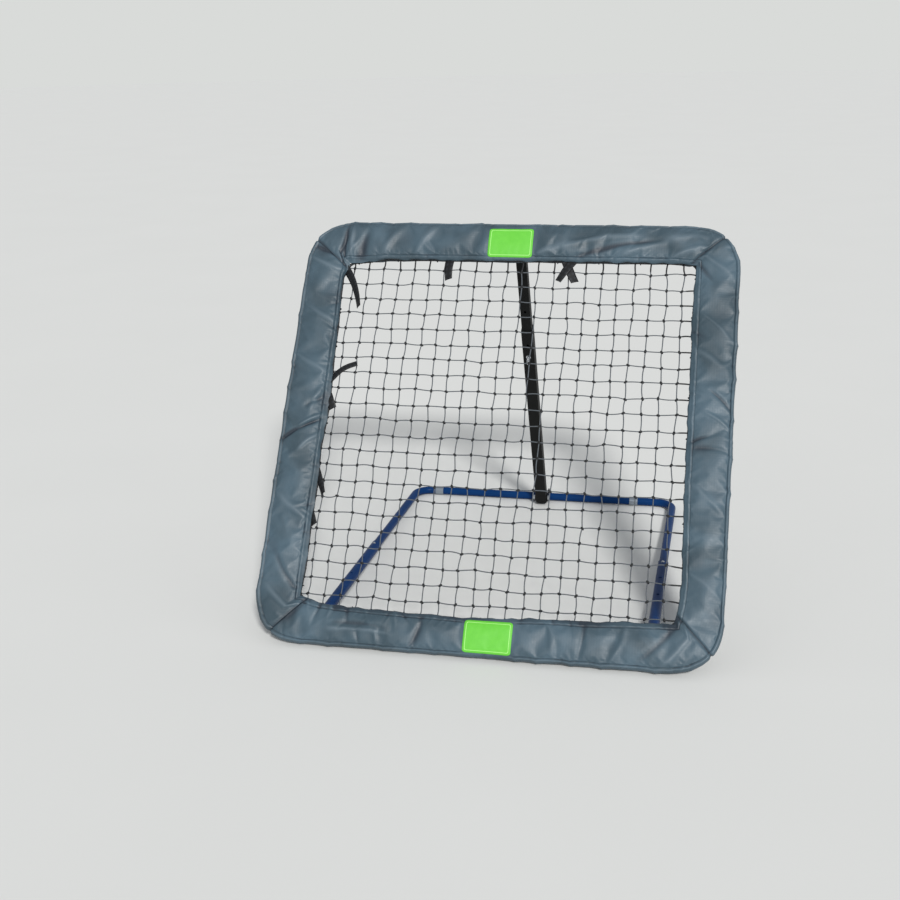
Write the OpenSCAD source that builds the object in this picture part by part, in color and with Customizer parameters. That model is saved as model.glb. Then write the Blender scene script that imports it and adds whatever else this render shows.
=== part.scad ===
// Pitch back rebounder: a padded square net panel, hinged at its bottom tube to a U-shaped
// ground frame and propped from behind by a telescopic strut with a lock pin.
// +X to the right, +Y away from the player, +Z up. Millimetres. The origin is on the floor
// at the centre of the footprint.

/* [Panel] */
// Outer side of the padded square
panel_size = 1240; // [1000:10:1500]
// Lean of the panel away from the player, from vertical
tilt = 36; // [30:1:42]
// Width of a pad, across
pad_width = 123; // [118:1:140]
// Thickness of a pad at its crown
pad_thickness = 46; // [45:1:56]
// Radius of the padded outer corners
pad_corner_radius = 135; // [125:1:150]
// Depth by which a pad's outer edge draws in between its seams
pad_draw_in = 3; // [0:0.5:4]
// Share of its thickness that a pad loses in a valley
pad_valley = 0.05; // [0:0.01:0.06]

/* [Panel frame] */
// Outside diameter of the panel's tubes
frame_tube_d = 25; // [24:0.5:26]
// Wall of the panel's tubes
frame_tube_wall = 1.5; // [1.2:0.1:2]
// Bend radius of the corner tubes, to the tube's axis
frame_bend_radius = 75; // [70:1:85]
// Straight tail on each end of a corner tube
corner_tail = 15; // [14:1:17]
// Shank diameter of the frame screws
frame_screw_d = 4; // [3:0.5:5]

/* [Foam] */
// Width of a foam core
foam_width = 100; // [96:1:101]
// Thickness of a foam core
foam_thickness = 38; // [37:0.5:38.5]
// Edge radius of a foam core
foam_edge_radius = 12; // [11:0.5:14]

/* [Net] */
// Number of meshes along one side
net_cells = 17; // [15:2:17]
// Thickness of the net's cord
net_cord = 3.2; // [2.5:0.1:4]
// Diameter of the border rope
border_rope_d = 8; // [6:0.5:9]
// Distance from the frame tube's axis to the border rope's axis
border_rope_inset = 68; // [68:0.5:74]
// Corner radius of the border rope
border_rope_bend = 22; // [18:1:28]
// Diameter of the elastic loops
loop_cord = 3; // [2:0.5:3]
// Height of the slit along the pads' inner edge
slit_height = 7; // [6:0.5:9]

/* [Labels and ties] */
// Width of a label
label_width = 127; // [100:1:140]
// Height of a label
label_height = 89; // [70:1:92]
// Corner radius of a label
label_corner = 9; // [5:1:15]
// Thickness of a label
label_thickness = 1; // [0.6:0.1:1.5]
// Width of the tie webbing
tie_width = 25; // [20:1:30]
// Thickness of the tie webbing
tie_thickness = 1.4; // [1:0.1:2]

/* [Ground frame] */
// Distance from the panel's side tubes in to the leg axes
leg_inset = 120.5; // [117:0.5:128]
// Outside diameter of the front leg tubes
front_leg_d = 30; // [29.6:0.1:32]
// Wall of the front leg tubes
front_leg_wall = 1.4; // [1.2:0.1:1.5]
// Length of the front leg tubes, from the hinge axis
front_leg_length = 595; // [590:1:640]
// Outside diameter of the rear leg tubes and the crossbar
rear_tube_d = 25; // [24:0.1:25.2]
// Wall of the rear leg tubes and the crossbar
rear_tube_wall = 1.4; // [1.2:0.1:1.8]
// Distance from the hinge axis to the front end of the rear leg tubes
rear_tube_start = 290; // [200:5:330]
// Bend radius of the rear corners, to the tube's axis
rear_bend_radius = 56; // [50:1:62]
// Distance from the hinge axis to the snap buttons
button_position = 570; // [560:1:572]
// Distance between the adjustment holes
hole_pitch = 124; // [100:1:130]
// Wall of the hinge sleeves
sleeve_wall = 4; // [3:0.1:4]
// Length of the hinge sleeves
sleeve_length = 46; // [40:1:48]
// Outside diameter of the crossbar collars
collar_d = 28; // [27.4:0.1:29]
// Length of the crossbar collars
collar_length = 27; // [20:1:32]
// Distance from the right leg's axis in to its collar
right_collar_inset = 130; // [123:1:158]
// Distance from the left leg's axis in to its collar
left_collar_inset = 76; // [74:1:108]
// Place of the peg hole along the crossbar
peg_hole_x = -56; // [-120:1:-40]
// Diameter of the peg hole
peg_hole_d = 8; // [6:0.5:9]

/* [Strut] */
// Distance from the top tube's axis back to the strut's head pivot
head_offset = 46; // [44:1:60]
// Distance from the foot pivot back to the crossbar's axis
foot_offset = 38; // [36:1:50]
// Height of the foot pivot above the crossbar's axis
foot_rise = 8; // [7:0.5:12]
// Side of the lower, outer strut tube
strut_outer = 35; // [34.6:0.1:38]
// Wall of the outer strut tube
strut_outer_wall = 1.5; // [1.2:0.1:1.6]
// Length of the outer tube below the foot pivot
strut_outer_tail = 10; // [9:0.5:11]
// Side of the upper, inner strut tube
strut_inner = 30; // [29:0.1:30.3]
// Wall of the inner strut tube
strut_inner_wall = 1.5; // [1.2:0.1:2]
// Distance from the foot pivot to the inner tube's lower end, at rest
strut_inner_start = 384; // [370:1:400]
// Length of the inner tube above the head pivot
strut_inner_tail = 12; // [10:0.5:14]
// Corner radius of the strut tubes
strut_corner = 3; // [2:0.5:4]
// Distance from the foot pivot to the lock pin
pin_position = 629; // [620:1:640]
// Distance from the lock pin up to the outer tube's second hole
second_hole_pitch = 43; // [31:1:60]
// Distance from the lock pin up to the outer tube's mouth
mouth_distance = 97; // [91:1:130]
// Distance from the head pivot to the hole in the inner tube
inner_hole_drop = 205; // [190:1:220]
// Travel of the lock pin's slot below the pin
slot_below = 228; // [228:1:232]
// Travel of the lock pin's slot above the pin
slot_above = 88; // [86:1:90]

/* [Pins, bolts and brackets] */
// Thickness of the bracket plates
plate = 3; // [2.5:0.5:4]
// Diameter of the two pivot bolts
pivot_bolt_d = 8; // [6:0.5:9]
// Diameter of the bracket's clamp bolt
clamp_bolt_d = 6; // [5:0.5:7]
// Diameter of the lock pin
lock_pin_d = 8; // [6:0.5:9]
// Diameter of the pull ring, to the wire's axis
ring_d = 24; // [20:1:28]
// Diameter of the pull ring's wire
ring_wire = 2.2; // [1.5:0.1:2.6]
// Diameter of the snap buttons
button_d = 8.4; // [7.5:0.1:9]
// Height of a snap button above its leg tube
button_height = 3.6; // [3:0.1:4.5]

/* [Clearances] */
// Radial clearance of a part that turns on a pin or a tube
turning_clearance = 0.06; // [0.04:0.01:0.09]
// Radial clearance of a bolt or screw in its hole
hole_clearance = 0.1; // [0.05:0.01:0.2]
// Clearance between parts that slide in each other
sliding_clearance = 0.15; // [0.1:0.01:0.2]
// Gap between a soft piece and what it lies on
soft_clearance = 0.3; // [0.2:0.05:0.4]

/* [Hidden] */
$fn = 48;

TOP = 0;
RIGHT = 1;
BOTTOM = 2;
LEFT = 3;

// Panel, measured from the bottom tube's axis: z up along the panel, -y towards the player
frame_r = frame_tube_d / 2;
half_pad = pad_width / 2;
half_thickness = pad_thickness / 2;
half_span = panel_size / 2 - half_pad;
span = 2 * half_span;
straight_half = half_span - frame_bend_radius;
joint_half = straight_half - corner_tail;

// A pad's section is a rounded rectangle of this power: across the pad, and from back to front
section_power = 3;
pad_ring_points = 20;
function signed_power(value, power) = sign(value) * pow(abs(value), power);
function section_across(turn) = half_pad * signed_power(cos(turn), 2 / section_power);
function section_out(turn) = half_thickness * signed_power(sin(turn), 2 / section_power);
function section_reach(across, out) =
  max([
    for (k = [0:pad_ring_points - 1])
      across * section_across(360 * k / pad_ring_points) + out * section_out(360 * k / pad_ring_points)
  ]);

// The hinge axis stands so that the pad's lowest edge is pressed flat on the floor by this much
pad_press = 0.5;
hinge_z = section_reach(cos(tilt), sin(tilt)) - pad_press;
front_reach = section_reach(sin(tilt), cos(tilt));

// The strut, the panel and the ground frame form a triangle with two equal sides: the head
// pivot and the foot pivot lie at the same distance from the hinge axis
arm = sqrt(pow(span, 2) + pow(head_offset, 2));
function hundredths(value) = round(100 * value) / 100;
foot_y = hundredths(sqrt(pow(arm, 2) - pow(foot_rise, 2)));
base_length = foot_y + foot_offset;
collar_r = collar_d / 2;
slope = asin((hinge_z - collar_r) / base_length);
rear_reach = base_length * cos(slope) + collar_r;
hinge_y = (front_reach - rear_reach) / 2;

// Strut, seen from the side, as it stands
head_y = span * sin(tilt) + head_offset * cos(tilt);
head_z = span * cos(tilt) - head_offset * sin(tilt);
foot_back = foot_y * cos(slope) + foot_rise * sin(slope);
foot_up = foot_rise * cos(slope) - foot_y * sin(slope);
strut_length = norm([foot_back - head_y, head_z - foot_up]);
strut_lean = atan2(foot_back - head_y, head_z - foot_up);

// Places along the strut, from its foot pivot
second_hole_position = pin_position + second_hole_pitch;
strut_outer_length = pin_position + mouth_distance;

// Net and its fastening
rope_half = half_span - border_rope_inset;
rope_r = border_rope_d / 2;
cell = 2 * rope_half / net_cells;
loop_r = loop_cord / 2;
tube_loop_r = frame_r + hole_clearance + loop_r;
rope_loop_r = rope_r + hole_clearance + loop_r;

// Ground frame
leg_x = half_span - leg_inset;
right_collar_x = leg_x - right_collar_inset;
left_collar_x = left_collar_inset - leg_x;
front_leg_r = front_leg_d / 2;
rear_r = rear_tube_d / 2;
rear_bore_r = rear_r - rear_tube_wall;
front_bore_r = front_leg_r - front_leg_wall;
sleeve_bore_r = frame_r + turning_clearance;
sleeve_r = sleeve_bore_r + sleeve_wall;
button_r = button_d / 2;
button_hole_r = button_r + turning_clearance;
bush_length = 12;
bush_flange = 1.5;
spring_thickness = 0.8;
spring_width = 8;

// Brackets
pivot_r = pivot_bolt_d / 2;
clamp_r = clamp_bolt_d / 2;
side_play = 0.4;
head_cheek_x = strut_inner / 2 + side_play;
foot_cheek_x = strut_outer / 2 + side_play;
clamp_rise = rear_r + clamp_r + 4.5;
bracket_bore_r = rear_r + 0.02;
washer = 1.5;
nut_height = 6;
head_height = 5;

// Lock pin and ring
pin_r = lock_pin_d / 2;
pin_head_r = 7;
pin_head_height = 4;
pin_head_y = -strut_outer / 2 - 0.1;
pin_reach = 6;
pin_lug_half = 2;
ring_hole_r = ring_wire / 2 + 0.3;
ring_y = pin_head_y - pin_head_height - ring_hole_r - 2;

// Moving a child into the frames that the pieces are drawn in
module in_panel() {
  translate([0, hinge_y, hinge_z])
    rotate([-tilt, 0, 0])
      children();
}

module in_base() {
  translate([0, hinge_y, hinge_z])
    rotate([-slope, 0, 0])
      children();
}

module in_strut() {
  in_base()
    translate([0, foot_y, foot_rise])
      rotate([slope + strut_lean, 0, 0])
        children();
}

// Turns a child that is drawn along the top side to another side of the panel
module on_side(side) {
  translate([0, 0, half_span])
    rotate([0, 90 * side, 0])
      children();
}

// A bar along x, centred
module bar_x(r, length) {
  rotate([0, 90, 0])
    cylinder(r = r, h = length, center = true);
}

// A bar along y from y = 0
module bar_y(r, length) {
  rotate([-90, 0, 0])
    cylinder(r = r, h = length);
}

module tube_x(r, bore, length) {
  difference() {
    bar_x(r, length);
    bar_x(bore, length + 2);
  }
}

// A rounded rectangle, drawn from squares and discs so that its corners stay true arcs
module rounded_rectangle(width, height, radius) {
  square([width, height - 2 * radius], center = true);
  square([width - 2 * radius, height], center = true);
  for (x = [-1, 1], y = [-1, 1])
    translate([x * (width / 2 - radius), y * (height / 2 - radius)])
      circle(r = radius);
}

module square_tube(side, wall, length) {
  linear_extrude(length)
    difference() {
      rounded_rectangle(side, side, strut_corner);
      rounded_rectangle(side - 2 * wall, side - 2 * wall, max(strut_corner - wall, 0.5));
    }
}

// ---- Panel frame --------------------------------------------------------------------------

// The top right corner of the panel, seen from its centre: a bend and two tails
module corner_path(r, tail) {
  translate([straight_half, 0, straight_half])
    rotate([90, 0, 0])
      rotate_extrude(angle = 90)
        translate([frame_bend_radius, 0])
          circle(r = r);
  translate([straight_half - tail / 2, 0, half_span])
    bar_x(r, tail);
  translate([half_span, 0, straight_half - tail])
    cylinder(r = r, h = tail);
}

module screw_hole_places() {
  for (x = [-1, 1])
    translate([x * (joint_half + corner_tail / 2), 0, half_span])
      rotate([-90, 0, 0])
        children();
}

module frame_corner(side) {
  color("#2a2f38")
    in_panel()
      on_side(side)
        difference() {
          corner_path(frame_r, corner_tail);
          corner_path(frame_r - frame_tube_wall, corner_tail + 1);
          screw_hole_places()
            cylinder(r = frame_screw_d / 2 + hole_clearance, h = frame_tube_d);
          rotate([0, 90, 0])
            screw_hole_places()
              cylinder(r = frame_screw_d / 2 + hole_clearance, h = frame_tube_d);
        }
}

module frame_corner_top_right() {
  frame_corner(TOP);
}

module frame_corner_bottom_right() {
  frame_corner(RIGHT);
}

module frame_corner_bottom_left() {
  frame_corner(BOTTOM);
}

module frame_corner_top_left() {
  frame_corner(LEFT);
}

// A straight tube with a swaged spigot at each end, which enters the corner tubes
module straight_tube(side) {
  spigot_r = frame_r - frame_tube_wall - hole_clearance;
  shoulder = 2 * frame_tube_wall;
  color("#2a2f38")
    in_panel()
      on_side(side)
        difference() {
          union() {
            translate([0, 0, half_span])
              bar_x(frame_r, 2 * joint_half);
            translate([0, 0, half_span])
              bar_x(spigot_r, 2 * straight_half);
          }
          translate([0, 0, half_span])
            bar_x(frame_r - frame_tube_wall, 2 * (joint_half - shoulder));
          translate([0, 0, half_span])
            bar_x(spigot_r - frame_tube_wall, span);
          screw_hole_places()
            cylinder(r = frame_screw_d / 2 + hole_clearance, h = frame_tube_d);
        }
}

module frame_top_tube() {
  straight_tube(TOP);
}

module frame_bottom_tube() {
  straight_tube(BOTTOM);
}

module frame_left_tube() {
  straight_tube(LEFT);
}

module frame_right_tube() {
  straight_tube(RIGHT);
}

// Pan-head screws at the eight tube joints, driven from behind
module frame_screws() {
  color("#b9bdc2")
    in_panel()
      for (side = [TOP:LEFT])
        on_side(side)
          screw_hole_places() {
            translate([0, 0, frame_r - 5])
              cylinder(r = frame_screw_d / 2, h = 5.5);
            translate([0, 0, frame_r + 0.1])
              cylinder(r1 = frame_screw_d, r2 = frame_screw_d * 0.7, h = 2.4);
          }
}

// ---- Pads ---------------------------------------------------------------------------------

// Distance from the panel's centre to its rounded outline, at slope t from a side's middle
corner_centre = panel_size / 2 - pad_corner_radius;
corner_start = corner_centre / (panel_size / 2);
function outline(t) =
  abs(t) <= corner_start
    ? panel_size / 2
    : (corner_centre * (1 + abs(t))
       + sqrt(pow(corner_centre * (1 + abs(t)), 2)
              - (1 + t * t) * (2 * pow(corner_centre, 2) - pow(pad_corner_radius, 2))))
      / (1 + t * t);

// Valleys across a pad, from 0 at a crest to 1, evenly spaced and gone at the middle and mitres
pad_valleys = 7;
function valley(t) =
  abs(t) < 1 / pad_valleys || abs(t) > 1 - 1 / pad_valleys ? 0 : (1 - cos(360 * pad_valleys * t)) / 2;

pad_rings = 6 * pad_valleys;
mitre_gap = 0.0004;
function pad_point(t, turn) =
  let (
    inner = half_span - half_pad + 0.6 * pad_draw_in * valley(t),
    outer = outline(t) - pad_draw_in * valley(t),
    d = (inner + outer) / 2 + (outer - inner) / pad_width * section_across(turn),
    n = (1 - pad_valley * valley(t)) * section_out(turn)
  )
  [t * d, -n, d];

// A mitred pad: one closed skin of triangles, thickest along its middle
module pad_body() {
  points = [
    for (i = [0:pad_rings], k = [0:pad_ring_points - 1])
      pad_point((2 * i / pad_rings - 1) * (1 - mitre_gap), 360 * k / pad_ring_points)
  ];
  n = pad_ring_points;
  last = pad_rings * n;
  walls = [
    for (i = [0:pad_rings - 1], k = [0:n - 1], half = [0, 1])
      let (a = i * n + k, b = i * n + (k + 1) % n)
        half == 0 ? [b + n, b, a] : [a + n, b + n, a]
  ];
  first_end = [for (k = [1:n - 2]) [0, k, k + 1]];
  last_end = [for (k = [1:n - 2]) [last, last + k + 1, last + k]];
  polyhedron(points = points, faces = concat(walls, first_end, last_end));
}

// The room for the frame tube along one side, through its bends
module tube_room(r) {
  translate([0, 0, half_span])
    bar_x(r, 2 * straight_half);
  for (m = [0, 1])
    mirror([m, 0, 0])
      translate([straight_half, 0, straight_half])
        rotate([90, 0, 0])
          rotate_extrude(angle = 90)
            translate([frame_bend_radius, 0])
              circle(r = r);
}

// The space of a foam core: an extruded bar, mitred and rounded at the panel's corners. The
// corner cut stands a little proud of the bar's outer face, so that its arcs cross that face
corner_proud = 0.5;
module core_space(grow, end_gap) {
  rounded_half = half_span + foam_width / 2 + grow + corner_proud;
  corner_radius = pad_corner_radius - half_pad + foam_width / 2 + 3 * foam_edge_radius;
  mitre = half_span + half_pad;
  intersection() {
    rotate([0, 90, 0])
      linear_extrude(2 * panel_size, center = true)
        translate([-half_span, 0])
          rounded_rectangle(foam_width + 2 * grow, foam_thickness + 2 * grow, foam_edge_radius + grow);
    rotate([90, 0, 0])
      linear_extrude(pad_thickness, center = true)
        polygon([[0, end_gap], [mitre, mitre + end_gap], [-mitre, mitre + end_gap]]);
    rotate([90, 0, 0])
      linear_extrude(pad_thickness, center = true)
        rounded_rectangle(2 * rounded_half, 2 * rounded_half, corner_radius + grow);
  }
}

// Slit along the inner edge, where the elastic loops leave a pad
module loop_slit() {
  translate([-straight_half, -slit_height / 2, half_span - half_pad - 5])
    cube([2 * straight_half, slit_height, half_pad + 5]);
}

// Elastic loops sit at every other mesh, but for the head bracket, the hinge sleeves and the ties
function loop_place(i) = (i + 0.5) * cell - rope_half;
function tie_at(side, x) =
  len([for (tie = tie_tails) if (tie[0] == side && abs(tie[1] - x) < tie_width / 2 + 3 * loop_cord) tie]) > 0;
function has_loop(side, i) =
  let (x = loop_place(i))
  !tie_at(side, x)
  && (side != TOP || abs(x) > head_cheek_x + plate + loop_cord)
  && (side != BOTTOM || abs(abs(x) - leg_x) > sleeve_length / 2 + loop_cord);

// Room round the frame tube for the loops, the screw heads and the brackets
module frame_pockets(side) {
  for (i = [0:2:net_cells - 1])
    if (has_loop(side, i))
      translate([loop_place(i), 0, half_span])
        bar_x(tube_loop_r + loop_r + 0.4, loop_cord + 1);
  screw_hole_places()
    cylinder(r = frame_screw_d + 0.5, h = frame_r + 3);
}

// Cut-outs in the bottom pad's back, through which the legs reach the hinge sleeves
notch_half = sleeve_length / 2 + 3;
notch_low = tilt - 24;
notch_high = tilt + 14;
module leg_notches() {
  reach = 2 * half_pad;
  for (x = [-leg_x, leg_x])
    translate([x - notch_half, 0, 0])
      rotate([90, 0, 90])
        linear_extrude(2 * notch_half) {
          circle(r = sleeve_r + 1.6);
          polygon([
            [0, 0],
            (sleeve_r + 1.6) * [sin(notch_low), -cos(notch_low)],
            (sleeve_r + 1.6) * [sin(notch_low), -cos(notch_low)] + reach * [cos(notch_low), sin(notch_low)],
            (sleeve_r + 1.6) * [-sin(notch_high), cos(notch_high)] + reach * [cos(notch_high), sin(notch_high)],
            (sleeve_r + 1.6) * [-sin(notch_high), cos(notch_high)]
          ]);
        }
}

// Cut-out in the top pad's back for the head bracket
bracket_room = frame_r + 5;
module bracket_notch() {
  width = 2 * (head_cheek_x + plate + 1);
  translate([0, 0, span])
    bar_x(bracket_room, width);
  translate([-width / 2, 0, span - bracket_room])
    cube([width, pad_thickness, 2 * bracket_room]);
}

// The floor, as a block under z = 0
module floor_block() {
  translate([-panel_size, -panel_size / 2, -100])
    cube([2 * panel_size, panel_size, 100]);
}

module pad_cover(side) {
  on_side(side)
    difference() {
      pad_body();
      core_space(0.4, 6);
      tube_room(frame_r + soft_clearance);
      loop_slit();
    }
}

module foam_core(side) {
  on_side(side)
    difference() {
      core_space(0, 7);
      tube_room(frame_r + soft_clearance);
      loop_slit();
      frame_pockets(side);
    }
}

module pad_top() {
  color("#3c4855")
    in_panel()
      difference() {
        pad_cover(TOP);
        bracket_notch();
      }
}

module pad_right() {
  color("#3c4855")
    in_panel()
      pad_cover(RIGHT);
}

module pad_bottom() {
  color("#3c4855")
    difference() {
      in_panel()
        difference() {
          pad_cover(BOTTOM);
          leg_notches();
        }
      floor_block();
    }
}

module pad_left() {
  color("#3c4855")
    in_panel()
      pad_cover(LEFT);
}

module foam_top() {
  color("#d9d9d2")
    in_panel()
      difference() {
        foam_core(TOP);
        bracket_notch();
      }
}

module foam_right() {
  color("#d9d9d2")
    in_panel()
      foam_core(RIGHT);
}

module foam_bottom() {
  color("#d9d9d2")
    in_panel()
      difference() {
        foam_core(BOTTOM);
        leg_notches();
      }
}

module foam_left() {
  color("#d9d9d2")
    in_panel()
      foam_core(LEFT);
}

// ---- Labels and ties ----------------------------------------------------------------------

// Front of a pad's crest at distance d from the panel's centre
function pad_front(d) =
  half_thickness * pow(1 - pow(abs(d - half_span) / half_pad, section_power), 1 / section_power);

// A label's section lies on the crown: its back edge upwards, then its front edge down again
label_steps = 10;
module label_section(centre_d) {
  rows = [for (k = [-label_steps / 2:label_steps / 2]) centre_d + k * label_height / label_steps];
  back = [for (d = rows) [d, pad_front(d) + soft_clearance]];
  front = [for (i = [label_steps:-1:0]) back[i] + [0, label_thickness]];
  polygon(concat(back, front));
}

module label_on(side, centre_x, centre_d) {
  color("#74d944")
    in_panel()
      on_side(side)
        intersection() {
          translate([centre_x, 0, 0])
            rotate([0, -90, 180])
              linear_extrude(label_width + 2, center = true)
                label_section(centre_d);
          translate([centre_x, 0, centre_d])
            rotate([90, 0, 0])
              linear_extrude(pad_thickness)
                rounded_rectangle(label_width, label_height - 1, label_corner);
        }
}

module label_top() {
  label_on(TOP, -20, half_span - 5);
}

module label_bottom() {
  label_on(BOTTOM, -26, half_span + 8);
}

// Free webbing tails at the pads' inner edges: side, place along it, length and lean
tie_tails = [
  [TOP, -190, 44, -12], [TOP, 137, 48, 6], [TOP, 162, 48, -14],
  [LEFT, 455, 62, -10], [LEFT, 120, 70, 25], [LEFT, 84, 40, -8],
  [LEFT, -148, 34, 14], [LEFT, -235, 46, -22]
];
module pad_ties() {
  color("#15171a")
    in_panel()
      for (tie = tie_tails)
        on_side(tie[0])
          translate([tie[1], -rope_r - soft_clearance - tie_thickness, rope_half])
            rotate([0, tie[3], 0])
              translate([-tie_width / 2, 0, -tie[2]])
                cube([tie_width, tie_thickness, tie[2]]);
}

// ---- Net ----------------------------------------------------------------------------------

// Square meshes: bars both ways, which stop at the border rope
module net() {
  reach = 2 * (rope_half - rope_r - soft_clearance);
  color("#23272c")
    in_panel()
      translate([0, 0, half_span])
        rotate([90, 0, 0])
          linear_extrude(net_cord, center = true)
            for (i = [1:net_cells - 1]) {
              translate([i * cell - rope_half, 0])
                square([net_cord, reach], center = true);
              translate([0, i * cell - rope_half])
                square([reach, net_cord], center = true);
            }
}

module net_border_rope() {
  run = rope_half - border_rope_bend;
  color("#1a1c20")
    in_panel()
      for (side = [TOP:LEFT])
        on_side(side) {
          translate([0, 0, rope_half])
            bar_x(rope_r, 2 * run);
          translate([run, 0, run])
            rotate([90, 0, 0])
              rotate_extrude(angle = 90)
                translate([border_rope_bend, 0])
                  circle(r = rope_r);
        }
}

// Elastic loops: an eye round the frame tube, two strands, and an eye round the border rope
module elastic_loop() {
  strand_start = rope_half + rope_loop_r;
  strand_end = half_span - tube_loop_r;
  translate([0, 0, half_span])
    rotate([0, 90, 0])
      rotate_extrude()
        translate([tube_loop_r, 0])
          circle(r = loop_r);
  translate([0, 0, rope_half])
    rotate([0, 90, 0])
      rotate_extrude()
        translate([rope_loop_r, 0])
          circle(r = loop_r);
  translate([0, 0, strand_start])
    cylinder(r = loop_r * 1.02, h = strand_end - strand_start);
}

module net_elastic_loops() {
  color("#101113")
    in_panel()
      for (side = [TOP:LEFT])
        on_side(side)
          for (i = [0:2:net_cells - 1])
            if (has_loop(side, i))
              translate([loop_place(i), 0, 0])
                elastic_loop();
}

// ---- Strut head ---------------------------------------------------------------------------

// Outline of a head bracket cheek, from the tube at the origin to the pivot
module head_cheek_outline() {
  difference() {
    union() {
      circle(r = frame_r + 4);
      translate([head_offset, 0])
        circle(r = 13);
      polygon([[0, frame_r + 4], [head_offset, 13], [head_offset, -13], [0, -frame_r - 4]]);
    }
    circle(r = frame_r + 0.02);
    translate([head_offset, 0])
      circle(r = pivot_r + hole_clearance);
  }
}

module head_bracket() {
  color("#1b1d20")
    in_panel()
      translate([0, 0, span]) {
        for (x = [-head_cheek_x - plate, head_cheek_x])
          translate([x, 0, 0])
            rotate([90, 0, 90])
              linear_extrude(plate)
                head_cheek_outline();
        translate([-head_cheek_x - plate, frame_r + 0.1, -frame_r])
          cube([2 * (head_cheek_x + plate), plate, 2 * frame_r]);
      }
}

// A hexagon bolt along x: its head on the right, its end past the nut on the left
module cross_bolt(r, grip, head_r) {
  bar_from = -grip / 2 - washer - nut_height - 2;
  translate([bar_from, 0, 0])
    rotate([0, 90, 0])
      cylinder(r = r, h = grip / 2 + washer - bar_from);
  translate([grip / 2 + side_play / 4, 0, 0])
    rotate([0, 90, 0])
      cylinder(r = head_r * 1.15, h = washer);
  translate([grip / 2 + side_play / 4 + washer, 0, 0])
    rotate([0, 90, 0])
      cylinder(r = head_r, h = head_height, $fn = 6);
}

// A washer and a hexagon nut for the same bolt
module cross_nut(r, grip, head_r) {
  translate([-grip / 2 - side_play / 4 - washer - nut_height, 0, 0])
    rotate([0, 90, 0])
      difference() {
        union() {
          cylinder(r = head_r, h = nut_height, $fn = 6);
          translate([0, 0, nut_height])
            cylinder(r = head_r * 1.15, h = washer);
        }
        translate([0, 0, -1])
          cylinder(r = r + hole_clearance, h = nut_height + washer + 2);
      }
}

module head_bolt() {
  color("#b9bdc2")
    in_panel()
      translate([0, head_offset, span])
        cross_bolt(pivot_r, 2 * (head_cheek_x + plate), pivot_r * 1.8);
}

module head_nut() {
  color("#b9bdc2")
    in_panel()
      translate([0, head_offset, span])
        cross_nut(pivot_r, 2 * (head_cheek_x + plate), pivot_r * 1.8);
}

// ---- Ground frame -------------------------------------------------------------------------

// Outer leg tube, with the hinge sleeve welded to its front end
module front_leg(x) {
  color("#1f2f5c")
    in_base()
      translate([x, 0, 0])
        difference() {
          union() {
            bar_x(sleeve_r, sleeve_length);
            bar_y(front_leg_r, front_leg_length);
          }
          bar_x(sleeve_bore_r, sleeve_length + 2);
          translate([0, sleeve_r, 0])
            bar_y(front_bore_r, front_leg_length);
          for (i = [0:2])
            translate([0, button_position - i * hole_pitch, 0])
              cylinder(r = button_hole_r, h = front_leg_d);
        }
}

module front_leg_left() {
  front_leg(-leg_x);
}

module front_leg_right() {
  front_leg(leg_x);
}

// Plastic guide bushes in the mouths of the outer tubes
module leg_guide_bushes() {
  color("#17181a")
    in_base()
      for (x = [-leg_x, leg_x])
        translate([x, front_leg_length, 0])
          difference() {
            union() {
              translate([0, -bush_length, 0])
                bar_y(front_bore_r - hole_clearance, bush_length);
              bar_y(front_leg_r, bush_flange);
            }
            translate([0, -bush_length - 1, 0])
              bar_y(rear_r + sliding_clearance, bush_length + bush_flange + 2);
          }
}

// Rear leg: the inner tube, its bend and a stub of the crossbar as far as the collar
module rear_leg(side, joint_x) {
  bend_y = base_length - rear_bend_radius;
  bend_x = leg_x - rear_bend_radius;
  stub = bend_x - abs(joint_x) - 0.5;
  color("#1f2f5c")
    in_base()
      mirror([side < 0 ? 1 : 0, 0, 0])
        difference() {
          union() {
            translate([leg_x, rear_tube_start, 0])
              bar_y(rear_r, bend_y - rear_tube_start);
            translate([bend_x, bend_y, 0])
              rotate_extrude(angle = 90)
                translate([rear_bend_radius, 0])
                  circle(r = rear_r);
            translate([bend_x - stub / 2, base_length, 0])
              bar_x(rear_r, stub);
          }
          translate([leg_x, rear_tube_start - 1, 0])
            bar_y(rear_bore_r, bend_y - rear_tube_start + 1);
          translate([bend_x, bend_y, 0])
            rotate_extrude(angle = 90)
              translate([rear_bend_radius, 0])
                circle(r = rear_bore_r);
          translate([bend_x - stub / 2 - 0.5, base_length, 0])
            bar_x(rear_bore_r, stub + 1);
          translate([leg_x, button_position, 0])
            cylinder(r = button_hole_r, h = front_leg_d);
          translate([abs(joint_x) + collar_length / 4, base_length, 0])
            rotate([-90, 0, 0])
              cylinder(r = frame_screw_d / 2 + hole_clearance, h = rear_tube_d);
        }
}

module rear_leg_left() {
  rear_leg(-1, left_collar_x);
}

module rear_leg_right() {
  rear_leg(1, right_collar_x);
}

module crossbar() {
  length = right_collar_x - left_collar_x - 1;
  color("#1f2f5c")
    in_base()
      translate([0, base_length, 0])
        difference() {
          translate([(right_collar_x + left_collar_x) / 2, 0, 0])
            tube_x(rear_r, rear_bore_r, length);
          translate([peg_hole_x, 0, -rear_tube_d])
            cylinder(r = peg_hole_d / 2, h = 2 * rear_tube_d);
          for (x = [left_collar_x + collar_length / 4, right_collar_x - collar_length / 4])
            translate([x, 0, 0])
              rotate([-90, 0, 0])
                cylinder(r = frame_screw_d / 2 + hole_clearance, h = rear_tube_d);
        }
}

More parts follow.
